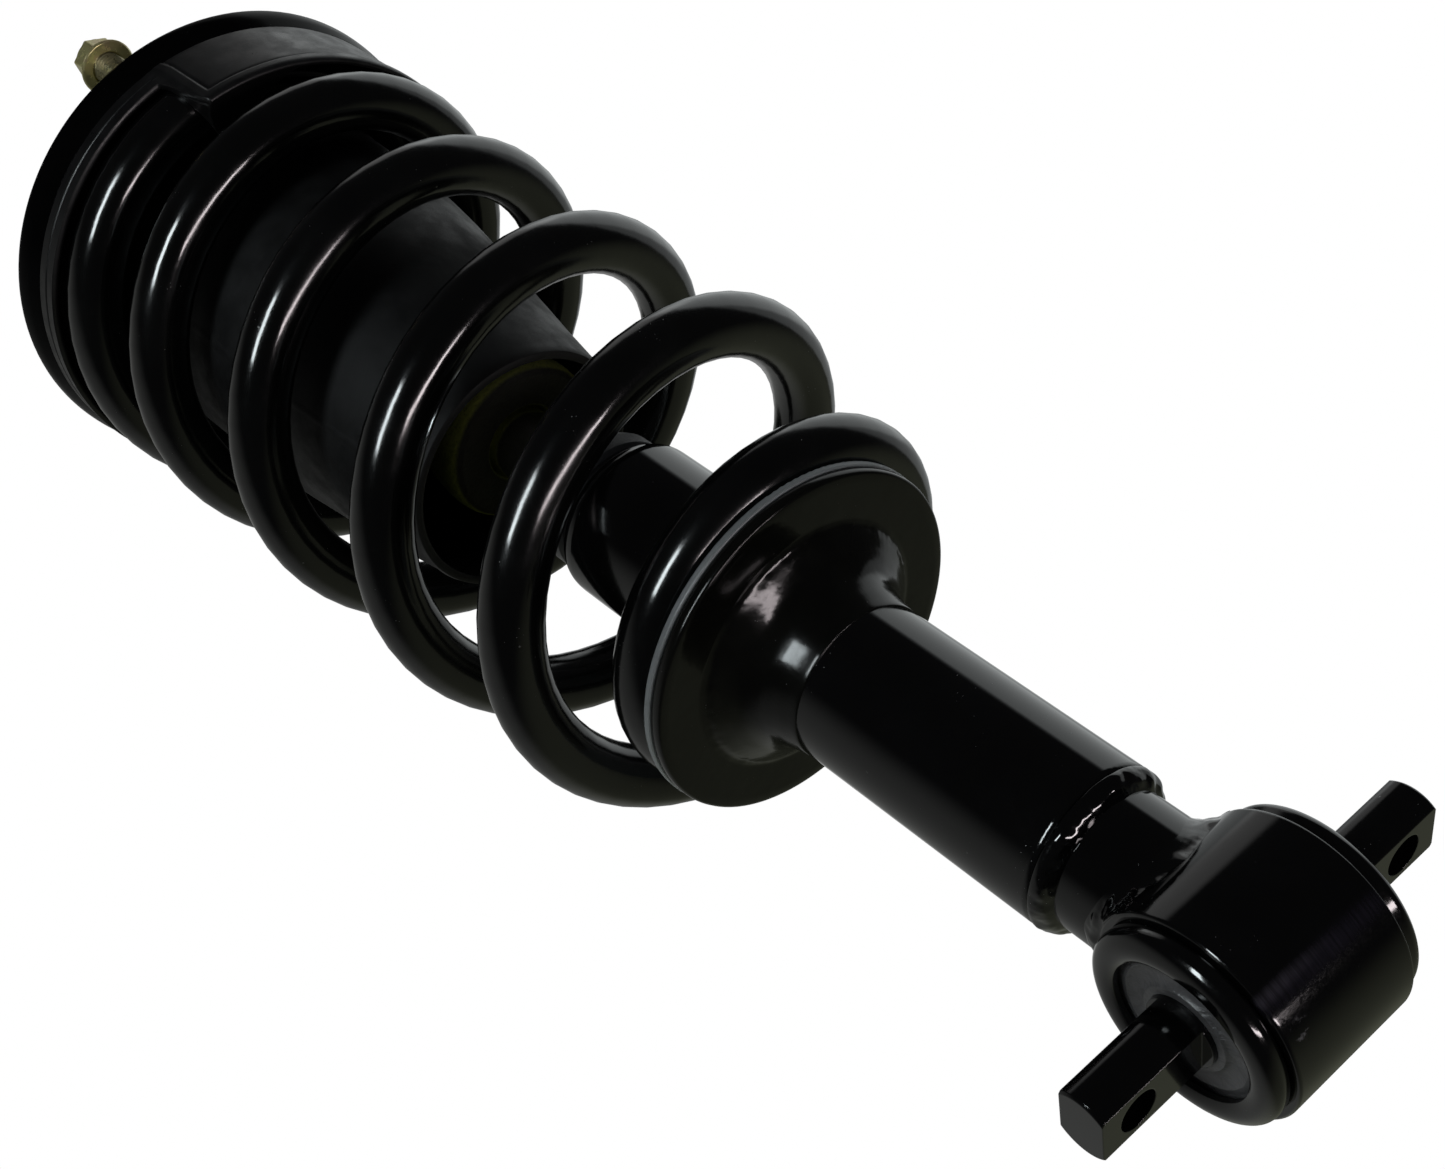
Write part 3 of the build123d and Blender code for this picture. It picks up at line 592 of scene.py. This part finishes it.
TUBE_BEAD = [  # radius, z
    (19.0, 47.4), (22.4, 47.45), (22.9, 46.9), (22.85, 45.9), (22.3, 44.8), (21.4, 43.7),
    (20.4, 43.0), (19.5, 42.5), (18.9, 42.2),
]
TUBE_BEAD_INSIDE = (18.7, 44.0)
TUBE_LUMPS = (  # degrees, width in degrees, height
    (236, 7, 0.9), (288, 5, 0.7), (205, 6, 0.6), (20, 8, 0.7), (120, 9, 0.6), (321, 4, 0.45),
)


def tube_weld():
    """Bead closing the tube's lower end, rippled and lumpy."""
    outside = catmull(TUBE_BEAD, 3)
    last = len(outside) - 1

    def beaded(radius, z, angle, row):
        if row > last:
            return radius, z
        degrees = math.degrees(angle)
        swell = math.sin(math.pi * row / last)
        lump = sum(high * bell((degrees - at + 180) % 360 - 180, 0, wide)
                   for at, wide, high in TUBE_LUMPS)
        rise = swell * (0.10 * ripple(angle, 17, 3) + 0.55 * lump
                        + 0.42 * wobble(angle, radius / 4.2, z / 3.2, 4)
                        + 0.07 * wobble(angle, radius / 1.5, z / 1.2, 5))
        return radius + 0.7 * rise - 0.15 * swell, z - 0.85 * rise

    add_weld("tube_weld_bead", lathe(outside + [TUBE_BEAD_INSIDE], 420, beaded), "tube_weld")


tube_weld()

EYE_RADIUS, STUB_RADIUS = 28.5, 19.0
EYE_BEAD_SEGS, EYE_BEAD_ROWS = 400, 15
EYE_BEAD_SUNK = 0.8  # how far the hidden side lies under the surfaces
EYE_BEAD_INNER = 18.6


def eye_height(y):
    """Height of the eye's round upper surface."""
    return math.sqrt(max(EYE_RADIUS**2 - y**2, 0.0))


def eye_bead_section(angle):
    """Closed section at an angle: the fillet from stub to eye, then the hidden side."""
    across_x, across_y = abs(math.cos(angle)), math.sin(angle)
    foot = 25.6 + 0.7 * wobble(angle, 2.2, 0, 6) + 0.35 * wobble(angle, 9, 0, 7)
    # the bead stays within 19.3 of the middle along the eye's axis
    foot = max(min(foot, 19.3 / max(across_x, 1e-6)), STUB_RADIUS + 0.15)
    foot_z = eye_height(foot * across_y)
    side_z = eye_height(STUB_RADIUS * across_y)
    top_z = side_z + 4.6 + 0.8 * wobble(angle, 3, 0, 8)
    section = []
    for row in range(EYE_BEAD_ROWS):
        t = row / (EYE_BEAD_ROWS - 1)
        bend = t * math.pi / 2
        radius = STUB_RADIUS + (foot - STUB_RADIUS) * (1 - math.cos(bend))
        z = top_z + (foot_z - top_z) * math.sin(bend)
        rise = math.sin(math.pi * t) * (0.9 + 0.08 * ripple(angle, 19, 9)
                                        + 0.75 * wobble(angle, radius / 4.4, z / 3.6, 10)
                                        + 0.13 * wobble(angle, radius / 1.6, z / 1.6, 11))
        section.append((radius + 0.7 * rise, z + 0.55 * rise))
    for radius in (foot + 0.05, 0.5 * (foot + 18.9)):
        section.append((radius, eye_height(radius * across_y) - EYE_BEAD_SUNK))
    section += [(EYE_BEAD_INNER, side_z - EYE_BEAD_SUNK), (EYE_BEAD_INNER, top_z - EYE_BEAD_SUNK)]
    return [(radius * math.cos(angle), radius * across_y, z) for radius, z in section]


def eye_weld():
    """Saddle bead between stub and eye, its foot following the eye's round."""
    sections = [eye_bead_section(TAU * k / EYE_BEAD_SEGS) for k in range(EYE_BEAD_SEGS)]
    rings = [list(ring) for ring in zip(*sections)]
    add_weld("eye_weld_bead", loft(rings, flipped=True), "eye_weld")


eye_weld()

SEAT_BEAD = [  # radius, z
    (23.7, 150.4), (28.0, 150.4), (28.0, 151.3), (27.2, 152.8), (25.7, 154.2), (24.4, 155.0),
    (23.6, 155.3), (23.5, 153.0),
]


def seat_weld():
    """Scalloped bead between the tube and the seat's upper face."""
    def beaded(radius, z, angle, row):
        if radius > 24.2 and z > 150.8:
            radius += 0.35 * abs(math.sin(angle * 25)) + 0.3 * wobble(angle, 9, z / 3, 12)
        return radius, z

    add_weld("seat_weld_bead", lathe(catmull(SEAT_BEAD, 3), 360, beaded), "seat_weld")


seat_weld()

# ---------------------------------------------------------------- lower seat
SEAT_BORE, SEAT_TOP, SEAT_UNDER = 23.75, 150.4, 146.6
SEAT_RIM = [  # radius, z: from the bore over the upper face and round the rim
    (SEAT_BORE, 139.6), (SEAT_BORE, SEAT_TOP), (30.0, SEAT_TOP), (40.0, SEAT_TOP),
    (49.3, SEAT_TOP), (50.0, 150.1), (50.3, 149.4), (50.3, 147.5), (50.03, 146.86),
    (49.4, SEAT_UNDER),
]
SEAT_NECK = [  # from the flat underside down to the neck
    (36.8, SEAT_UNDER), (35.4, 146.0), (33.8, 144.8), (31.0, 142.7), (28.0, 140.2),
    (25.8, 137.4), (24.6, 134.6), (SEAT_BORE, 131.5), (23.1, 128.6), (22.74, 126.0),
]
SEAT_INSIDE = [(22.66, 125.8), (22.85, 130.8), (SEAT_BORE, 135.0)]


def lower_seat():
    """Pressed dish, a little uneven where its underside bends into the neck."""
    def pressed(radius, z, angle, row):
        if z > SEAT_UNDER + 0.1 or radius < SEAT_BORE + 0.05:
            return radius, z
        dent = 0.09 * bell(radius, 35.2, 1.4) * wobble(angle, radius / 2.2, z / 2.2, 21)
        dent += 0.12 * bell(radius, 33.0, 6.0) * wobble(angle, radius / 7, z / 7, 22)
        return radius + 0.6 * dent, z - 0.8 * dent

    flat = [(47.0 - 0.8 * k, SEAT_UNDER) for k in range(12)] + [(37.5, SEAT_UNDER)]
    part = lathe(SEAT_RIM + flat + catmull(SEAT_NECK, 8) + SEAT_INSIDE, 480, pressed)
    add_piece("seat_pressed_dish", part, DAMPER, seat_paint, "lower_seat", sharp=50)


lower_seat()

# ---------------------------------------------------------------- dust boot
BOOT_STATIONS = [  # z, centre x, centre y, radius
    (262.3, -6.1, 2.5, 37.7), (300.0, -4.6, 2.6, 43.6), (335.0, -2.4, 2.0, 49.0),
    (365.0, -0.9, 0.8, 51.6), (403.5, 0.0, 0.0, 52.6),
]
BOOT_COLLAR = [  # radius, z
    (52.2, 404.6), (51.2, 405.0), (45.8, 405.0), (45.8, 426.0), (45.2, 427.0), (43.8, 427.0),
    (43.2, 426.0), (43.2, 401.5), (48.5, 401.5),
]
BOOT_WALL = 2.4
BOOT_SEAMS = (28, 208)  # degrees


def dust_boot():
    """Tapered sleeve leaning off the axis, with a lip at its foot and two mould seams."""
    outside = catmull(BOOT_STATIONS, 14)
    rows = [(radius, z, cx, cy) for z, cx, cy, radius in outside]
    rows += [(radius, z, 0, 0) for radius, z in BOOT_COLLAR]
    rows += [(radius - BOOT_WALL, z, cx, cy) for z, cx, cy, radius in reversed(outside[:-2])]
    rows += [(35.7, 262.0, -6.1, 2.5), (36.6, 261.9, -6.1, 2.5)]

    def moulded(radius, z, angle, row):
        _, _, cx, cy = rows[row]
        rise = 0.0
        if row < len(outside):
            rise = 0.10 * wobble(angle, 3, z / 14, 13) + 0.32 * bell(z, 264.2, 1.3)
            for seam in BOOT_SEAMS:
                off = math.sin((angle - math.radians(seam)) / 2) * 2 * radius
                rise += 0.22 * bell(off, 0, 0.5)
        radius += rise
        return radius * math.cos(angle) + cx, radius * math.sin(angle) + cy, z

    part = lathe([row[:2] for row in rows], 320, moulded)
    add_piece("dust_boot_moulded", part, TOP, boot_rubber, "dust_boot", sharp=45)


dust_boot()

# ---------------------------------------------------------------- insulator
INSULATOR_SEGS, WALL_ROWS = 1200, 40
WALL_RADIUS, RIM_Z = 75.0, 420.4
SKIRT_SHALLOW, SKIRT_DROP = 412.0, 22.4
SKIRT_DEEP = SKIRT_SHALLOW - SKIRT_DROP
PANEL_START, PANEL_END = 262.4, 342.7  # degrees, the sides of the deep skirt's framed panel
UNDERSIDE = [  # radius, z
    (53.3, 406.0), (53.3, 422.6), (66.0, 422.6), (70.6, 419.2), (72.7, 415.4), (72.8, 413.5),
]
WEB = [
    (71.2, 398.8), (66.8, 398.7), (60.8, 398.7), (58.4, 398.5), (57.8, 397.8), (58.4, 397.1),
    (60.8, 396.5), (66.8, 394.6), (70.6, 392.1), (72.5, 390.8),
]
UPPER_SIDE = [
    (74.9, RIM_Z), (73.0, RIM_Z), (73.0, 428.0), (71.0, 430.0), (45.8, 430.0), (45.8, 404.0),
    (52.0, 404.0),
]


def skirt_low(degrees):
    """Height of the outer wall's lower edge at an angle."""
    deep = smoothstep(260.2, 264.6, degrees) - smoothstep(341.0, 344.5, degrees)
    return SKIRT_SHALLOW - SKIRT_DROP * deep


def wall_radius(z, degrees, low):
    """Outer wall with a raised bead and groove framing the deep skirt, a groove elsewhere."""
    radius = WALL_RADIUS
    if low < 411.5:
        from_start = max(math.radians(degrees - PANEL_START) * WALL_RADIUS, 0.0)
        from_end = max(math.radians(PANEL_END - degrees) * WALL_RADIUS, 0.0)
        # the frame's starting side slants a little above z 416
        inset = min(z - SKIRT_DEEP, from_start + max(z - 416, 0.0) * 0.2, from_end)
        bead = smoothstep(0.0, 2.0, inset) * (1 - smoothstep(4.6, 5.2, inset))
        groove = bell(inset, 5.5, 0.32) * (0.2 if z > 417.6 else 1.0)
        radius += 0.42 * bead - 0.38 * groove
    return radius - 0.34 * bell(z, 416.4, 0.32) * smoothstep(400, 411, low)


def insulator_section(degrees):
    """Closed section of (radius, z) at an angle."""
    low = skirt_low(degrees)
    # the deep skirt turns in under the end coil, so the wire runs into a pocket
    pocket = smoothstep(261.4, 265.0, degrees) * (1 - smoothstep(272.0, 292.0, degrees))
    section = list(UNDERSIDE)
    if low < 410:
        lip = 1.5
        inner_low = low + 2.2
        inner_end = inner_low + pocket * (399.6 - inner_low)
        section += [(72.8, 413.4 + (inner_end - 413.4) * share) for share in (0.35, 0.7, 1.0)]
        plain = [(72.8 + 0.02 * i, inner_low - 0.13 * i) for i in range(len(WEB))]
    else:
        lip = 0.9
        section += [(72.85, 413.3), (72.9, 413.2), (72.95, 413.1)]
        plain = [(72.95 + 0.008 * i, 413.1 - 0.05 * i) for i in range(len(WEB))]
    section += [(r0 + (r1 - r0) * pocket, z0 + (z1 - z0) * pocket)
                for (r0, z0), (r1, z1) in zip(plain, WEB)]
    section += [(73.05, low + lip * 0.5), (73.5, low + 0.12), (74.0, low), (74.7, low + 0.2),
                (75.15, low + lip * 0.55)]
    for row in range(WALL_ROWS):
        z = low + lip + (RIM_Z - 0.05 - low - lip) * (row / (WALL_ROWS - 1))
        section.append((wall_radius(z, degrees, low), z))
    return section + UPPER_SIDE


def insulator():
    """Round cap over the spring's upper end, its outer wall deeper over part of the round."""
    columns = []
    for k in range(INSULATOR_SEGS):
        angle = TAU * k / INSULATOR_SEGS
        column = []
        for radius, z in insulator_section(math.degrees(angle)):
            if 60 < radius < 76 and z < 420:
                radius += 0.05 * wobble(angle, radius / 7, z / 7, 14)
            column.append((radius * math.cos(angle), radius * math.sin(angle), z))
        columns.append(column)
    add_piece("insulator_moulded", loft(columns), TOP, insulator_rubber,
              "insulator", sharp=50)


insulator()

# ---------------------------------------------------------------- studs and nuts
PITCH = 1.5  # of every thread
STUD_CIRCLE, STUD_COUNT, FIRST_STUD = 70, 3, 258.4  # radius, count, degrees


def threaded(radius, z0, z1):
    """Bar with a helical thread, chamfered at the top."""
    rows = int((z1 - z0) / PITCH * 9)
    profile = [(0.0, z0)]
    profile += [(radius, z0 + (z1 - z0) * i / rows) for i in range(rows + 1)]
    profile += [(0.0, z1)]

    def cut(r, z, angle, row):
        phase = ((z - z0) / PITCH - angle / TAU) % 1.0
        depth = PITCH * 0.56 * smoothstep(0.12, 0.95, abs(2 * phase - 1))
        chamfer = max(0.0, z - (z1 - 0.9)) * 0.9
        return min(r - depth, r - chamfer), z

    return lathe(profile, 48, cut, closed=False)


def hex_nut(across_flats, z0, z1, bore, flange=0.0, flange_height=0.0):
    """Hexagon with turned chamfers, a threaded bore and an optional washer flange."""
    flat = across_flats / 2
    corner = flat / math.cos(math.pi / 6)
    hex_z0 = z0 + flange_height
    if flange:
        profile = [(bore + 0.6, z0), (flange - 0.5, z0), (flange, z0 + 0.45), (flange, z0 + 0.9),
                   (flange - 0.5, z0 + 1.25), (flange - 1.2, hex_z0 - 0.1)]
        first_z = hex_z0 + 0.3
    else:
        profile = [(bore + 0.6, z0), (flat - 0.1, z0)]
        first_z = z0 + 0.05
    first_hex = len(profile)
    profile.append((flat, first_z))
    profile += [(flat, hex_z0 + 0.3 + (z1 - hex_z0 - 0.3) * k / 12) for k in range(1, 13)]
    first_round = len(profile)
    profile += [(flat - 0.5, z1), (bore + 0.7, z1), (bore, z1 - 0.7)]
    first_bore = len(profile)
    depth = z1 - z0 - 1.4  # bore between its two chamfers
    rows = int(depth / PITCH * 7)
    profile += [(bore, z1 - 0.7 - depth * (i + 1) / rows) for i in range(rows)]

    def cut(radius, z, angle, row):
        if first_hex <= row < first_round:
            side = flat / math.cos(angle % (math.pi / 3) - math.pi / 6)
            cone = flat - 0.15 + max(0.0, z1 - z) * 1.9
            if not flange:
                cone = min(cone, flat - 0.15 + max(0.0, z - z0) * 1.9)
            return min(side, cone, corner - 0.12), z
        if row >= first_bore:
            phase = ((z - z0) / PITCH - angle / TAU) % 1.0
            return radius + 0.25 * abs(2 * phase - 1), z
        return radius, z

    return lathe(profile, 144, cut)


def mount_hardware():
    """Three studs with flanged nuts on the top mount, and the nut on the rod's end."""
    studs, nuts = [], []
    for k in range(STUD_COUNT):
        angle = math.radians(FIRST_STUD + 360 / STUD_COUNT * k)
        x, y = STUD_CIRCLE * math.cos(angle), STUD_CIRCLE * math.sin(angle)
        collar = lathe([(0, 430.2), (4.85, 430.2), (4.85, 433.0), (4.9, 434.1), (0, 434.1)], 48,
                       closed=False)
        stud = join_parts([collar, threaded(radius=4.97, z0=434.0, z1=451.8)])
        nut = hex_nut(across_flats=13.0, z0=443.4, z1=452.6, bore=4.95, flange=9.0,
                      flange_height=1.9)
        studs.append(placed(stud, x, y, turn=0.4 * k))
        nuts.append(placed(nut, x, y, turn=0.35 + 1.1 * k))
    add_piece("mount_studs_threaded", join_parts(studs), TOP, olive_zinc,
              "mount_studs", sharp=30)
    add_piece("stud_nuts_flanged", join_parts(nuts), TOP, yellow_zinc,
              "stud_nuts", sharp=24)
    rod_nut = hex_nut(across_flats=18.0, z0=456.0, z1=463.0, bore=6.0)
    add_piece("rod_nut_hex", rod_nut, TOP, clear_zinc, "rod_nut", sharp=24)


mount_hardware()

# ---------------------------------------------------------------- camera
# the camera looks up at the strut from below the floor
RIGHT = Vector((0.738829484158, 0.145318005663, -0.658037742511))
DOWN = Vector((-0.553195521301, 0.688428078969, -0.469085808035))
FORWARD = Vector((0.384845044857, 0.710597957581, 0.589020232361))
CAMERA_AT = Vector((-0.233418336, -0.430881675, -0.177114449))


def pose(x_axis, y_axis, z_axis, origin):
    """Matrix with these axes and origin."""
    rows = [tuple(row) for row in zip(x_axis, y_axis, z_axis, origin)]
    return Matrix(rows + [(0, 0, 0, 1)])


def add_camera():
    camera = bpy.data.objects.new("camera", bpy.data.cameras.new("camera"))
    bpy.context.scene.collection.objects.link(camera)
    camera.matrix_world = pose(RIGHT, -DOWN, -FORWARD, CAMERA_AT)
    camera.data.sensor_fit = "HORIZONTAL"
    camera.data.sensor_width = 36.0
    camera.data.lens = 55.833662931
    camera.data.clip_start, camera.data.clip_end = 0.01, 50.0
    bpy.context.scene.camera = camera


add_camera()

# ---------------------------------------------------------------- lights
STRUT_MIDDLE = Vector((0, 0, 0.21))
LIGHT_DISTANCE = 1.5
LEFT = {"angle": 39, "place": 172}
RIGHT_SIDE = {"angle": 41, "place": -17}


def camera_direction(angle, place):
    """Direction at an angle off the line to the camera, at a place round it.

    Both in degrees; place 0 is right of the view, 90 is up.
    """
    s, c = math.sin(math.radians(angle)), math.cos(math.radians(angle))
    round_by = math.radians(place)
    return (RIGHT * (s * math.cos(round_by)) - DOWN * (s * math.sin(round_by))
            - FORWARD * c).normalized()


def soft_light(name, angle, place, width, height, radiance, colour, diffuse=True, glossy=True):
    """A soft box facing the strut, its height running round the strut's axis."""
    data = bpy.data.lights.new(name, "AREA")
    data.shape = "RECTANGLE"
    data.size, data.size_y = width, height
    data.energy = radiance * math.pi * width * height
    data.color = colour
    light = bpy.data.objects.new(name, data)
    bpy.context.scene.collection.objects.link(light)
    away = camera_direction(angle, place)
    up = Vector((0, 0, 1)).cross(away).normalized()
    side = up.cross(away).normalized()
    light.matrix_world = pose(side, up, away, STRUT_MIDDLE + away * LIGHT_DISTANCE)
    light.visible_diffuse, light.visible_glossy, light.visible_camera = diffuse, glossy, False


# the first pair shows only in reflections, the fills light only the matt surfaces
soft_light("light_left", **LEFT, width=0.26, height=0.70, radiance=24.0,
           colour=(0.88, 0.97, 1.0), diffuse=False)
soft_light("light_right", **RIGHT_SIDE, width=0.15, height=0.95, radiance=21.0,
           colour=(1.0, 0.90, 0.92), diffuse=False)
soft_light("fill_left", **LEFT, width=0.5, height=0.5, radiance=3.2,
           colour=(0.92, 0.97, 1.0), glossy=False)
soft_light("fill_right", **RIGHT_SIDE, width=0.4, height=0.4, radiance=2.6,
           colour=(1.0, 0.94, 0.95), glossy=False)

# ---------------------------------------------------------------- world
# patches of light in the surroundings, all in degrees up to the gain:
# angle, place, radius, soft edge, gain, colour
PATCHES = (
    (132, 64, 27, 8, 0.47, (0.95, 1.0, 1.0)),
    (140, 52, 37.5, 4, 0.36, (0.95, 1.0, 1.0)),
    (124, 106, 13, 8, 0.4, (1.0, 1.0, 0.99)),
    (128, 222, 46, 34, 0.22, (0.98, 1.0, 0.96)),
    (108, 310, 40, 40, 0.14, (1.0, 1.06, 0.72)),
    (180, 0, 16, 10, 0.25, (1.0, 1.0, 1.0)),
    (180, 0, 179, 2, 0.026, (1.0, 1.0, 1.05)),
)


def add_world():
    """Patches of light for the strut, plain white for the camera."""
    world = bpy.data.worlds.new("studio")
    bpy.context.scene.world = world
    tree = cleared_tree(world)
    output = add_node(tree, "ShaderNodeOutputWorld")
    direction = add_node(tree, "ShaderNodeTexCoord").outputs["Generated"]
    total = None
    for angle, place, radius, soft, gain, colour in PATCHES:
        facing = add_node(tree, "ShaderNodeVectorMath", {
            0: direction, 1: camera_direction(angle, place)}, operation="DOT_PRODUCT")
        edge = [math.cos(math.radians(radius + half)) for half in (soft / 2, -soft / 2)]
        amount = smooth_range(tree, facing.outputs["Value"], edge, (0.0, gain))
        patch = add_node(tree, "ShaderNodeVectorMath", {0: colour, "Scale": amount},
                         operation="SCALE").outputs[0]
        if total is None:
            total = patch
        else:
            total = add_node(tree, "ShaderNodeVectorMath", {0: total, 1: patch},
                             operation="ADD").outputs[0]
    seen = add_node(tree, "ShaderNodeLightPath").outputs["Is Camera Ray"]
    dim = add_node(tree, "ShaderNodeBackground", {"Color": total})
    pale = add_node(tree, "ShaderNodeBackground", {"Color": (1, 1, 1, 1), "Strength": 1.0})
    mixed = add_node(tree, "ShaderNodeMixShader", {
        0: seen, 1: dim.outputs[0], 2: pale.outputs[0]})
    tree.links.new(mixed.outputs[0], output.inputs["Surface"])


add_world()

# ---------------------------------------------------------------- floor
FLOOR_HALF, FLOOR_Z = 6.0, -0.0290


def floor_material():
    """Glowing pale, with painted contact shade from ambient occlusion near the strut, clear from
    below so the low camera sees through.
    """
    material = bpy.data.materials.new("floor_pale")
    tree = cleared_tree(material)
    output = add_node(tree, "ShaderNodeOutputMaterial")
    # painted shadow: the floor's glow dims where ambient occlusion finds the strut close by,
    # standing in for its contact shadow
    shade = add_node(tree, "ShaderNodeAmbientOcclusion", {"Distance": 0.16}, samples=8)
    strength = add_node(tree, "ShaderNodeMapRange", {
        "Value": shade.outputs["AO"], "To Min": 0.35, "To Max": 0.93})
    pale = add_node(tree, "ShaderNodeEmission", {"Strength": strength.outputs["Result"]})
    clear = add_node(tree, "ShaderNodeBsdfTransparent")
    side = add_node(tree, "ShaderNodeNewGeometry")
    mixed = add_node(tree, "ShaderNodeMixShader", {
        0: side.outputs["Backfacing"], 1: pale.outputs[0], 2: clear.outputs[0]})
    tree.links.new(mixed.outputs[0], output.inputs["Surface"])
    return material


def add_floor():
    material = floor_material()
    mesh = bpy.data.meshes.new("floor")
    corners = [(x * FLOOR_HALF, y * FLOOR_HALF, FLOOR_Z)
               for x, y in ((-1, -1), (1, -1), (1, 1), (-1, 1))]
    mesh.from_pydata(corners, [], [(0, 1, 2, 3)])
    mesh.materials.append(material)
    floor = bpy.data.objects.new("floor", mesh)
    bpy.context.scene.collection.objects.link(floor)
    floor.visible_glossy = floor.visible_diffuse = False
    floor.visible_shadow = floor.visible_transmission = False


add_floor()

view = bpy.context.scene.view_settings
view.view_transform, view.look, view.exposure, view.gamma = "Standard", "None", 0.0, 1.0
